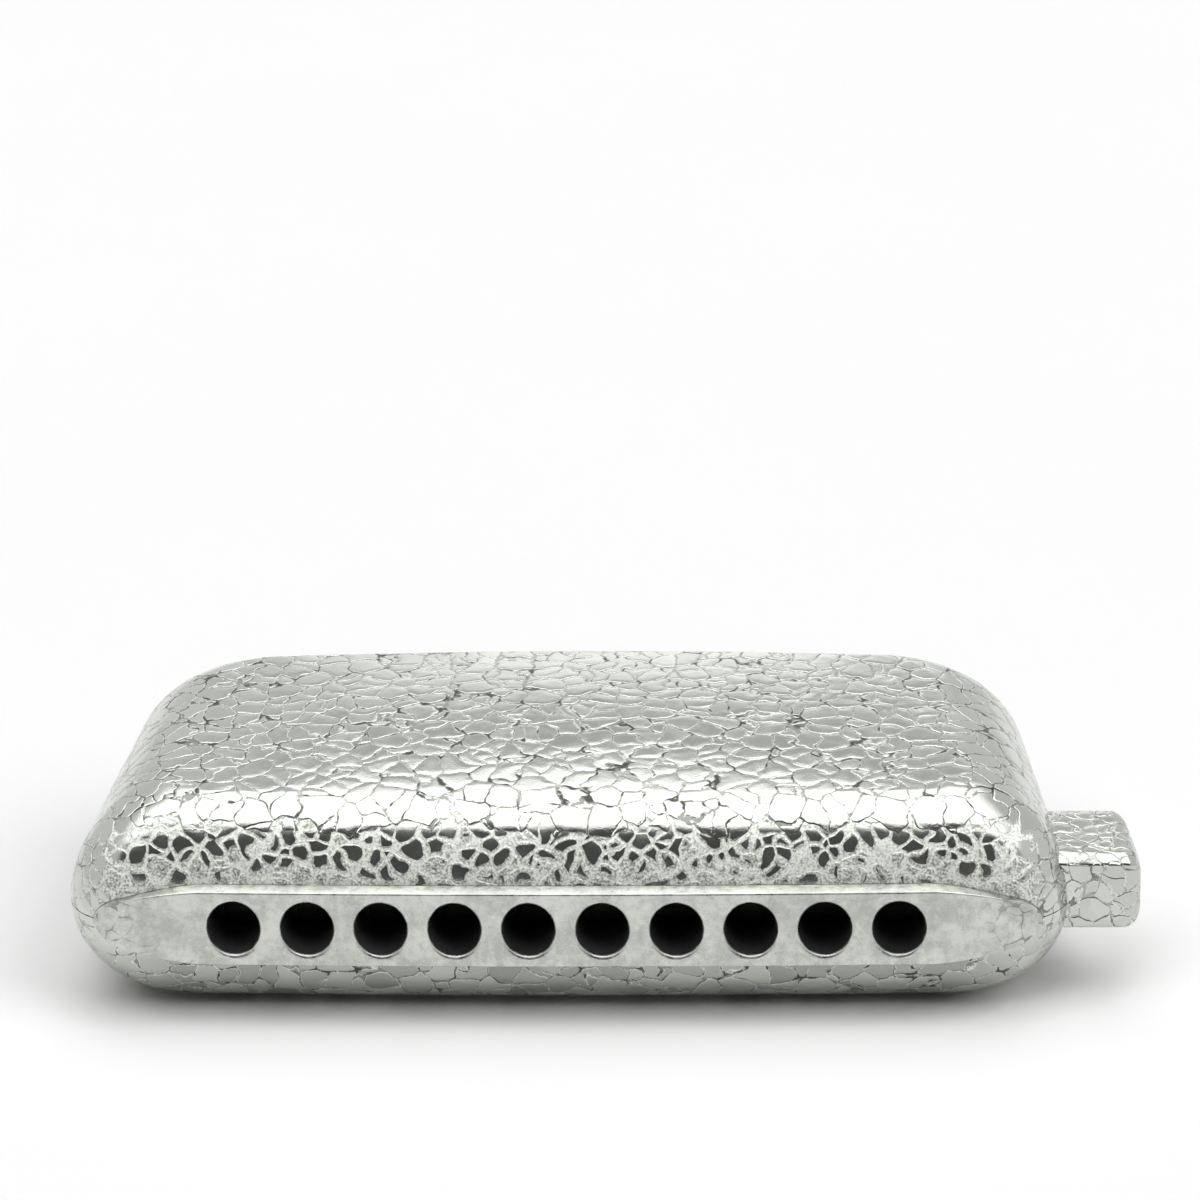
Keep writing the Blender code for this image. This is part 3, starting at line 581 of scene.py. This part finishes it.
def crackle_sheet(name, mesh):
    item = bpy.data.objects.new(name, mesh)
    scene.collection.objects.link(item)
    item.modifiers.new("crackle", "NODES").node_group = crackle_relief
    graph = bpy.context.evaluated_depsgraph_get()
    result = bpy.data.meshes.new_from_object(item.evaluated_get(graph))
    bpy.data.objects.remove(item)
    return result


def silver(level):
    return (0.973 * level, level, 0.925 * level, 1.0)


def crackled_silver_material():
    material, tree, shader, millimetres = start_material("crackled_silver", 1.0)
    crackle = add_crackle(tree, millimetres)
    wall = crackle["wall"]
    height = crackle["height"]
    wide = crackle["wide"]
    grain = add_noise(tree, millimetres, 3.5, 4.0)
    breaks = add_noise(tree, millimetres, 1.1, 2.0)
    drift = add_noise(tree, millimetres, 0.45, 2.0)
    tone = tree.nodes.new("ShaderNodeSeparateColor")
    tree.links.new(crackle["colour"], tone.inputs[0])
    pebble = tree.nodes.new("ShaderNodeSeparateColor")
    tree.links.new(crackle["pebble_colour"], pebble.inputs[0])

    # Cracks: ragged hairlines, chipped wide here and there, but fine at the ends
    ragged = add_math(tree, "ADD", crackle["edge"], add_math(tree, "MULTIPLY_ADD", breaks, 0.3, -0.15))
    ragged = add_math(tree, "ADD", ragged, add_math(tree, "MULTIPLY_ADD", grain, 0.1, -0.05))
    ends = add_range(tree, wide, *SOFT_ENDS)
    widest = add_range(tree, ends, 0.0, 1.0, 0.22, 0.09)
    line = add_range(tree, ragged, 0.0, add_range(tree, drift, 0.55, 0.7, 0.07, widest))
    soft_part = add_math(tree, "MAXIMUM", add_range(tree, height, *SOFT_TOP), ends)
    pale_line = add_colour_mix(tree, soft_part, silver(0.24), silver(0.4))
    deep_line = add_colour_mix(tree, ends, silver(0.06), silver(0.2))
    line_tone = add_colour_mix(tree, add_range(tree, drift, 0.47, 0.62), pale_line, deep_line)

    # Scales: polished silver in slightly different tones, with painted shade that darkens them towards
    # the table
    scale_tone = add_colour_mix(tree, tone.outputs[1], silver(0.54), silver(0.64))
    # Painted shade: the scales grow darker towards the table by height, more on some scales than
    # others, and less at the ends
    painted_shade = add_range(tree, height, *SIDE_PAINTED_SHADE, 0.0, 0.42)
    painted_shade = add_math(tree, "ADD", painted_shade, add_range(tree, height, *FOOT_PAINTED_SHADE, 0.0, 0.34))
    painted_shade = add_math(tree, "MULTIPLY", painted_shade, add_range(tree, tone.outputs[0], 0.0, 1.0, 0.55, 1.2))
    painted_shade = add_math(tree, "MULTIPLY", painted_shade, add_range(tree, wide, *PAINTED_SHADE_ENDS, 1.0, 0.35))
    scale_tone = add_colour_mix(tree, painted_shade, scale_tone, silver(0.05))

    # Worn wall: each pebble is worn down by its own amount, and more lies bare further down
    broken = add_math(tree, "ADD", pebble.outputs[0], add_range(tree, height, *WORN_THROUGH, 0.0, 1.2))
    broken = add_math(tree, "MULTIPLY", broken, wall)
    scale_start = add_math(tree, "MULTIPLY_ADD", broken, 0.31, 0.03)
    scale_full = add_math(tree, "ADD", scale_start, 0.12)
    polish = add_range(tree, ragged, scale_start, scale_full)
    vein = add_range(tree, crackle["edge"], 0.05, 0.2, 0.45, 0.0)
    bed_share = add_math(tree, "ADD", add_range(tree, grain, 0.35, 0.65), vein)
    bed_tone = add_colour_mix(tree, bed_share, silver(0.28), silver(0.84))
    sheen = add_colour_mix(tree, polish, bed_tone, scale_tone)
    dark_line = add_math(tree, "MAXIMUM", line, wall)
    tree.links.new(add_colour_mix(tree, dark_line, line_tone, sheen), shader.inputs["Base Color"])

    # Gloss: clear on the scales, duller on some pebbles, matte in the cracks and on the bare wall
    matte = add_math(tree, "SUBTRACT", 1.0, polish)
    worn = add_math(tree, "MULTIPLY", matte, wall)
    dulled = add_math(tree, "MULTIPLY", pebble.outputs[1], wall)
    rough = add_math(tree, "MULTIPLY_ADD", dulled, 0.08, add_range(tree, drift, 0.3, 0.7, 0.08, 0.18))
    rough = add_math(tree, "MULTIPLY_ADD", matte, 0.12, rough)
    rough = add_math(tree, "MULTIPLY_ADD", worn, 0.3, rough)
    tree.links.new(rough, shader.inputs["Roughness"])
    tree.links.new(add_math(tree, "MULTIPLY_ADD", worn, -0.35, 1.0), shader.inputs["Metallic"])
    uneven = add_math(tree, "MULTIPLY_ADD", grain, 0.2, add_range(tree, ragged, 0.0, 0.2))
    add_relief(tree, shader, uneven, 0.00006, 0.9)
    return material


crackled_silver = crackled_silver_material()


def cover_shell(name, side, flat_share):
    outline = casing_outline(0.0)
    roof = MID - CROWN
    angles = np.linspace(ROLL_END, 0.0, WALL_STEPS + 1)
    outer = [casing_ring(outline, a, SEAM + (roof - SEAM) * math.sin(a)) for a in angles]
    lining = casing_outline(COVER_WALL)
    inner_roof = roof - COVER_WALL
    inner_angles = np.linspace(0.0, math.pi / 2, INNER_STEPS + 1)
    inner = [casing_ring(lining, a, SEAM + (inner_roof - SEAM) * math.sin(a)) for a in inner_angles]
    sheet = stretched_sheet(outer[0], LONG_STEPS, SHORT_STEPS)
    swell = np.minimum(sheet_swell(LONG_STEPS, SHORT_STEPS) / flat_share, 1.0)
    sheet[:, :, 2] += CROWN * swell
    for part in outer + inner + [sheet.reshape(-1, 3)]:
        part[:, 2] = MID + side * part[:, 2]
    mesh = shell_mesh(name, sheet, outer, inner, LONG_STEPS, SHORT_STEPS)
    return crackle_sheet(name, mesh)


# Openings of the casing: the mouth notch with its tapered ends, the rear slot and the button's port.
# They are cut through the sheet of both covers, and posts inside take the two long screws from below.
TIP_X = 0.0605
TAPER_START = 0.04606
MOUTH_MID = MID - 0.0002
MOUTH_HEIGHT = 0.0109
TIP_HEIGHT = 0.0046
TIP_ROUND = 0.0028
MOUTH_PROUD = 0.0012
MOUTH_BACK = -0.0207
NOTCH_GAP = 0.00004
TAPER_CURVE = 1.5
TIP_FULLNESS = 0.96
BAND_STATIONS = 241
CUT_FAR = 0.04
CUT_PAST = 0.001


def taper_share(x):
    return max(0.0, (abs(x) - TAPER_START) / (TIP_X - TAPER_START))


def band_half(x):
    half = MOUTH_HEIGHT / 2 + (TIP_HEIGHT - MOUTH_HEIGHT) / 2 * taper_share(x) ** TAPER_CURVE
    past = max(0.0, (abs(x) - TIP_X) / TIP_ROUND + 1)
    return half * math.sqrt(1 - TIP_FULLNESS * min(past, 1.0) ** 2)


def box_section(low, high, half):
    bottom = MOUTH_MID - half
    top = MOUTH_MID + half
    return [(low, bottom), (high, bottom), (high, top), (low, top)]


notch_rings = []
band_places = TIP_X * np.sin(np.linspace(-math.pi / 2, math.pi / 2, BAND_STATIONS))
for x in band_places * (1 + NOTCH_GAP / TIP_X):
    near = max(-TIP_X, min(TIP_X, x))
    section = box_section(-CUT_FAR, MOUTH_BACK, band_half(near) + NOTCH_GAP)
    notch_rings.append([(x, y, z) for y, z in section])

SLOT_HALF = 0.047
SLOT_RISE = 0.0107
SLOT_CORNER = 0.004
SLOT_FRONT = 0.0215
slot_corners = [
    (-SLOT_HALF, MID - SLOT_RISE), (SLOT_HALF, MID - SLOT_RISE),
    (SLOT_HALF, MID + SLOT_RISE), (-SLOT_HALF, MID + SLOT_RISE)]
slot_shape = rounded_corners(slot_corners, [SLOT_CORNER] * 4, 10)
slot_rings = [[(x, y, z) for x, z in slot_shape] for y in (SLOT_FRONT, CUT_FAR)]

BUTTON_FRONT = -0.0213
BUTTON_BACK = -0.0061
BUTTON_LOW = 0.01085
BUTTON_HIGH = 0.02135
BUTTON_ROUND = 0.0024
BUTTON_EDGE = 0.001
PORT_GAP = 0.0003
PORT_INNER = 0.0566
PORT_OUTER = 0.075
PORT_STEPS = 40


# The button's section: its long edges are rounded more along the depth than along the height
def button_section(grow, radius, long_steps, short_steps):
    flat = BUTTON_ROUND / BUTTON_EDGE
    low = (BUTTON_FRONT - grow, (BUTTON_LOW - grow) * flat)
    high = (BUTTON_BACK + grow, (BUTTON_HIGH + grow) * flat)
    corners = [low, (high[0], low[1]), high, (low[0], high[1])]
    section = four_sided_outline(corners, [radius] * 4, long_steps, short_steps)
    section[:, 1] /= flat
    return section


port_shape = button_section(PORT_GAP, BUTTON_ROUND + PORT_GAP, PORT_STEPS, PORT_STEPS)
port_rings = [[(x, y, z) for y, z in port_shape] for x in (PORT_INNER, PORT_OUTER)]

openings = [
    loft_mesh("mouth_notch", notch_rings), loft_mesh("rear_slot", slot_rings),
    loft_mesh("button_port", port_rings)]

BOSS_RADIUS = 0.0032
BOSS_NEAR = 0.0043
BOSS_FAR = 0.0139
HEAD_BORE = 0.0021
SHANK_BORE = 0.0013
HEAD_SEAT = 0.0021
BORE_END = 0.024975
POST_SIDES = 48


def round_post(name, x, y, levels):
    rings = []
    for z, radius in levels:
        ring = []
        for side in range(POST_SIDES):
            angle = 2 * math.pi * side / POST_SIDES
            ring.append((x + radius * math.cos(angle), y + radius * math.sin(angle), z))
        rings.append(ring)
    return loft_mesh(name, rings)


bore_levels = (
    (-CUT_PAST, HEAD_BORE), (HEAD_SEAT, HEAD_BORE), (HEAD_SEAT, SHANK_BORE), (BORE_END, SHANK_BORE))
post_places = (-COVER_SCREW_X, COVER_SCREW_X)
bores = [round_post("screw_bore", x, COVER_SCREW_Y, bore_levels) for x in post_places]
cover_meshes = []
for shell_name, side, flat_share in (("upper_shell", 1, 1.0), ("lower_shell", -1, 0.6)):
    boss_levels = [(MID + side * reach, BOSS_RADIUS) for reach in (BOSS_NEAR, BOSS_FAR)]
    bosses = [round_post("screw_boss", x, COVER_SCREW_Y, boss_levels) for x in post_places]
    shell = cover_shell(shell_name, side, flat_share)
    cover_meshes.append(cut_mesh(shell_name, shell, openings + bores, bosses))
bare_sheet = worked_material(
    "bare_sheet", silver(0.36), silver(0.52), (0.3, 0.46), 1.0, (0.4, 0.4, 0.4), 0.00002)
for shell_name, mesh, node in zip(
        ("upper_shell", "lower_shell"), cover_meshes, ("upper_cover", "lower_cover")):
    mesh.set_sharp_from_angle(angle=math.radians(40))
    new_piece(shell_name, mesh, crackled_silver, "casing", "casing", node)
    # The inside of the sheet has no crackle
    mesh.materials.append(bare_sheet)
    outside = np.empty(len(mesh.vertices), np.float32)
    mesh.attributes["outside"].data.foreach_get("value", outside)
    for face in mesh.polygons:
        if outside[list(face.vertices)].max() < 0.5:
            face.material_index = 1


# Mouthpiece: a cast bar with satin silver plating, ten lipped holes and tapered tips.
# It stands a little proud of the casing and is screwed on from behind, through the slide stack.
MOUTH_EDGE = 0.0003
LEDGE_RUN = 0.0004
LEDGE_DROP = 0.0002
HOLE_PITCH = 0.0094
HOLE_WIDTH = 0.0066
HOLE_HEIGHT = 0.0074
HOLE_LIP = 0.0006
LUMPS_PER_METRE = 420.0
LUMP_DEPTH = 0.00004
FLANGE_HALF = 0.056
TIP_DEPTH = 0.00308
TIP_FLUSH = 0.85
EDGE_LIMIT = 0.6
EDGE_STEPS = 8
FACE_STEPS = 24
HOLE_SIDES = 72
# Millimetres from the middle at which the cracks of the tips start and are full
TIP_CRACKS = (51.0, 58.0)

front_line = casing_outline(0.0)[:LONG_STEPS + 1]


def mouth_face(x):
    base = float(np.interp(x, front_line[:, 0], front_line[:, 1]))
    return base - MOUTH_PROUD * (1 - taper_share(x) ** 2)


mouth_rings = []
for x in band_places:
    face = mouth_face(x)
    half = band_half(x)
    stand = 1 - TIP_FLUSH * taper_share(x)
    edge = min(MOUTH_EDGE * stand, EDGE_LIMIT * half)
    drop = LEDGE_DROP * stand * stand
    back = MOUTH_BACK if abs(x) <= FLANGE_HALF else face + TIP_DEPTH
    ring = []
    for step in range(EDGE_STEPS + 1):
        angle = math.radians(90 * step / EDGE_STEPS)
        y = face + edge * (1 - math.cos(angle))
        ring.append((x, y, MOUTH_MID + half - drop - edge * (1 - math.sin(angle))))
    ring.append((x, face + edge + LEDGE_RUN, MOUTH_MID + half))
    ring.append((x, back, MOUTH_MID + half))
    ring += [(x, y, 2 * MOUTH_MID - z) for x, y, z in reversed(ring)]
    low_z = ring[-1][2]
    high_z = ring[0][2]
    for step in range(1, FACE_STEPS):
        z = low_z + (high_z - low_z) * step / FACE_STEPS
        lump = noise.noise(Vector((x, 0.0, z)) * LUMPS_PER_METRE) + 1
        away = math.sin(math.pi * step / FACE_STEPS)
        ring.append((x, face + LUMP_DEPTH * lump * away, z))
    mouth_rings.append(ring)

hole_cutters = []
for index in range(10):
    x = (index + 0.5) * HOLE_PITCH - 5 * HOLE_PITCH
    face = mouth_face(x)
    levels = [(face - CUT_PAST, HOLE_LIP)]
    for step in range(EDGE_STEPS + 1):
        angle = math.radians(90 * step / EDGE_STEPS)
        levels.append((face + HOLE_LIP * (1 - math.cos(angle)), HOLE_LIP * (1 - math.sin(angle))))
    levels.append((MOUTH_BACK + CUT_PAST, 0.0))
    rings = []
    for y, lip in levels:
        ring = []
        for side in range(HOLE_SIDES):
            angle = 2 * math.pi * side / HOLE_SIDES
            ring.append((
                x + (HOLE_WIDTH / 2 + lip) * math.cos(angle), y,
                MOUTH_MID + (HOLE_HEIGHT / 2 + lip) * math.sin(angle)))
        rings.append(ring)
    hole_cutters.append(loft_mesh("blow_hole", rings))

mouth_mesh = cut_mesh("mouth_bar", loft_mesh("mouth_bar", mouth_rings), hole_cutters)
mouth_mesh.set_sharp_from_angle(angle=math.radians(40))


def satin_silver_material():
    material, tree, shader, millimetres = start_material("satin_silver", 1.0)
    clouds = add_noise(tree, millimetres, 0.22, 4.0)
    blots = add_noise(tree, millimetres, 0.9, 3.0)
    grain = add_noise(tree, millimetres, 4.5, 4.0)
    fine = add_math(tree, "MULTIPLY", grain, 0.5)
    share = add_math(tree, "MULTIPLY_ADD", add_math(tree, "ADD", clouds, blots), 0.9, fine)
    share = add_range(tree, share, 0.85, 1.45)
    satin = add_colour_mix(tree, share, (0.43, 0.44, 0.41, 1.0), (0.66, 0.675, 0.63, 1.0))
    # Faint cracks run on from the casing over the tapered tips
    crackle = add_crackle(tree, millimetres)
    ragged = add_math(tree, "ADD", crackle["edge"], add_math(tree, "MULTIPLY_ADD", blots, 0.3, -0.15))
    line = add_range(tree, ragged, 0.08, 0.0)
    line = add_math(tree, "MULTIPLY", line, add_range(tree, crackle["wide"], *TIP_CRACKS, 0.0, 0.55))
    tree.links.new(add_colour_mix(tree, line, satin, grey(0.12)), shader.inputs["Base Color"])
    rough = add_range(tree, blots, 0.3, 0.7, 0.26, 0.42)
    tree.links.new(rough, shader.inputs["Roughness"])
    uneven = add_math(tree, "MULTIPLY_ADD", grain, 0.3, blots)
    uneven = add_math(tree, "SUBTRACT", uneven, line)
    add_relief(tree, shader, uneven, 0.0001, 0.6)
    return material


new_piece("mouth_bar", mouth_mesh, satin_silver_material(), "casing", "mouthpiece", "mouthpiece")
# Inside the lips the bores are black
BORE_SHARE = 0.51
LIP_SHARE = 0.8
mouth_mesh.materials.append(moulded_black)
for face in mouth_mesh.polygons:
    x, y, z = face.center
    nearest = (math.floor(x / HOLE_PITCH) + 0.5) * HOLE_PITCH
    reach = math.hypot((x - nearest) / HOLE_WIDTH, (z - MOUTH_MID) / HOLE_HEIGHT)
    if reach < BORE_SHARE and y > mouth_face(nearest) + LIP_SHARE * HOLE_LIP:
        face.material_index = 1


# Button: a crackled silver block pushed onto the slide's tang, with rounded edges and a full end.
# It slides in its port at the right end of the casing.
BUTTON_INNER = 0.0613
BUTTON_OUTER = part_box("slide_button")[1].x
END_LEAN = 0.096
BUTTON_LONG = 60
BUTTON_SHORT = 52
BUTTON_WALL = 0.0015
BUTTON_HOLLOW = 0.005
END_SHRINK = 0.9
CORNER_GAIN = 0.3
ROUND_STEPS = 10
SIDE_STEPS = 40


def button_ring(x, shrink):
    section = button_section(-shrink, BUTTON_ROUND + CORNER_GAIN * shrink, BUTTON_LONG, BUTTON_SHORT)
    share = max(0.0, (x - BUTTON_INNER) / (BUTTON_OUTER - BUTTON_INNER))
    lean = END_LEAN * share * (section[:, 0] - BUTTON_FRONT)
    return np.column_stack([x - lean, section])


button_outer = []
for step in range(ROUND_STEPS + 1):
    angle = math.radians(90 - 90 * step / ROUND_STEPS)
    shrink = BUTTON_ROUND * END_SHRINK * (1 - math.cos(angle))
    button_outer.append(button_ring(BUTTON_OUTER - BUTTON_ROUND * (1 - math.sin(angle)), shrink))
straight = BUTTON_OUTER - BUTTON_ROUND
for step in range(1, SIDE_STEPS + 1):
    button_outer.append(button_ring(straight + (BUTTON_INNER - straight) * step / SIDE_STEPS, 0.0))
button_inner = [button_ring(x, BUTTON_WALL) for x in (BUTTON_INNER, BUTTON_INNER + BUTTON_HOLLOW)]
end_sheet = stretched_sheet(button_outer[0], BUTTON_LONG, BUTTON_SHORT)
button_mesh = shell_mesh(
    "button_block", end_sheet, button_outer, button_inner, BUTTON_LONG, BUTTON_SHORT)
button_mesh = crackle_sheet("button_block", button_mesh)
button_mesh.shade_smooth()
button_mesh.set_sharp_from_angle(angle=math.radians(50))
new_piece("button_block", button_mesh, crackled_silver, "slide", "casing", "slide_button")


# Studio: a white table, a light tent over it that is bright above, dim in front and grey behind,
# four soft lamps for the shadow on the table, and the camera at the photograph's place.
CAMERA_YAW = math.radians(2.45)
CAMERA_PITCH = math.radians(24.121)
CAMERA_ROLL = math.radians(-1.197)
CAMERA_SPOT = (0.02803, -0.56087, 0.29955)
CAMERA_LENS = 142.5
CAMERA_SENSOR = 36.0
camera_data = bpy.data.cameras.new("camera")
camera_data.lens = CAMERA_LENS
camera_data.sensor_width = CAMERA_SENSOR
camera_data.clip_start = 0.01
camera_data.clip_end = 50.0
camera = bpy.data.objects.new("camera", camera_data)
camera.location = CAMERA_SPOT
aim = Matrix.Rotation(CAMERA_YAW, 3, "Z") @ Matrix.Rotation(math.pi / 2 - CAMERA_PITCH, 3, "X")
camera.rotation_euler = (aim @ Matrix.Rotation(CAMERA_ROLL, 3, "Z")).to_euler()
scene.collection.objects.link(camera)
scene.camera = camera

TABLE_HALF = 6.0
table_mesh = bpy.data.meshes.new("table")
table_mesh.from_pydata(
    [(-TABLE_HALF, -TABLE_HALF, 0), (TABLE_HALF, -TABLE_HALF, 0),
     (TABLE_HALF, TABLE_HALF, 0), (-TABLE_HALF, TABLE_HALF, 0)], [], [(0, 1, 2, 3)])
table_material, tree, shader, millimetres = start_material("white_table", 0.0)
cloud = add_noise(tree, millimetres, 0.01, 2.0)
tree.links.new(add_colour_mix(tree, cloud, grey(0.93), grey(0.95)), shader.inputs["Base Color"])
shader.inputs["Roughness"].default_value = 0.9
shader.inputs["Specular IOR Level"].default_value = 0.0
table_mesh.materials.append(table_material)
table = bpy.data.objects.new("table", table_mesh)
scene.collection.objects.link(table)

TENT_RADIUS = 1.6
TENT_LIGHT = 2.3
TENT_HEM = -0.02
SIDE_CLOTH = 0.34
SIDE_SPAN = (0.9, 1.2)
SIDE_LEAN = 0.55
tent_shape = bmesh.new()
bmesh.ops.create_icosphere(tent_shape, subdivisions=4, radius=TENT_RADIUS)
below = [vert for vert in tent_shape.verts if vert.co.z < TENT_HEM]
bmesh.ops.delete(tent_shape, geom=below, context="VERTS")
tent_mesh = bpy.data.meshes.new("light_tent")
tent_shape.to_mesh(tent_mesh)
tent_shape.free()
tent_material = bpy.data.materials.new("tent_cloth")
tent_material.use_nodes = True
tree = tent_material.node_tree
tree.nodes.clear()
place = tree.nodes.new("ShaderNodeTexCoord").outputs["Object"]
axes = tree.nodes.new("ShaderNodeSeparateXYZ")
tree.links.new(place, axes.inputs[0])
toward = add_math(tree, "MULTIPLY", axes.outputs["Y"], -1.0)
turn = add_math(tree, "ARCTAN2", axes.outputs["Z"], toward)
ramp = tree.nodes.new("ShaderNodeValToRGB")
tree.links.new(add_math(tree, "DIVIDE", turn, math.pi), ramp.inputs[0])
# Brightness of the cloth from the front edge over the top to the back, by shares of a half turn
stops = (
    (0.0, 0.035), (0.30, 0.045), (0.335, 0.95), (0.79, 0.95),
    (0.81, 0.27), (0.86, 0.27), (0.895, 0.62), (0.96, 0.56))
ramp.color_ramp.elements.remove(ramp.color_ramp.elements[1])
ramp.color_ramp.elements[0].position = stops[0][0]
ramp.color_ramp.elements[0].color = grey(stops[0][1])
for position, level in stops[1:]:
    ramp.color_ramp.elements.new(position).color = grey(level)
behind = add_math(tree, "MAXIMUM", axes.outputs["Y"], 0.0)
off_middle = add_math(tree, "ABSOLUTE", axes.outputs["X"])
aside = add_math(tree, "MULTIPLY_ADD", behind, SIDE_LEAN, off_middle)
side_share = add_range(tree, aside, *SIDE_SPAN)
light = add_colour_mix(tree, side_share, ramp.outputs["Color"], grey(SIDE_CLOTH))
glow = tree.nodes.new("ShaderNodeEmission")
glow.inputs["Strength"].default_value = TENT_LIGHT
tree.links.new(light, glow.inputs["Color"])
tent_end = tree.nodes.new("ShaderNodeOutputMaterial")
tree.links.new(glow.outputs[0], tent_end.inputs["Surface"])
tent_mesh.materials.append(tent_material)
tent = bpy.data.objects.new("light_tent", tent_mesh)
tent.visible_camera = False
tent.visible_diffuse = False
tent.visible_shadow = False
scene.collection.objects.link(tent)

LAMP_SPREAD = math.radians(40)
lamps = (
    ("overhead", (0.23, -0.13, 1.0), 0.48), ("behind", (0.0, 0.27, 1.0), 0.65),
    ("left", (-0.29, -0.5, 1.0), 1.13), ("right", (0.87, -0.5, 1.0), 1.29))
for lamp_name, direction, strength in lamps:
    lamp_data = bpy.data.lights.new(lamp_name, "SUN")
    lamp_data.energy = strength
    lamp_data.angle = LAMP_SPREAD
    lamp = bpy.data.objects.new(lamp_name, lamp_data)
    lamp.rotation_euler = Vector(direction).to_track_quat("Z", "Y").to_euler()
    lamp.visible_glossy = False
    scene.collection.objects.link(lamp)

AMBIENT = 0.1
world = bpy.data.worlds.new("white_room")
world.use_nodes = True
tree = world.node_tree
rays = tree.nodes.new("ShaderNodeLightPath")
seen = add_math(tree, "ADD", rays.outputs["Is Camera Ray"], rays.outputs["Is Glossy Ray"])
seen = add_math(tree, "ADD", seen, rays.outputs["Is Transmission Ray"])
room = tree.nodes["Background"]
room.inputs["Color"].default_value = grey(1.0)
tree.links.new(add_range(tree, seen, 0.0, 1.0, AMBIENT, 1.0), room.inputs["Strength"])
scene.world = world
scene.view_settings.view_transform = "Standard"
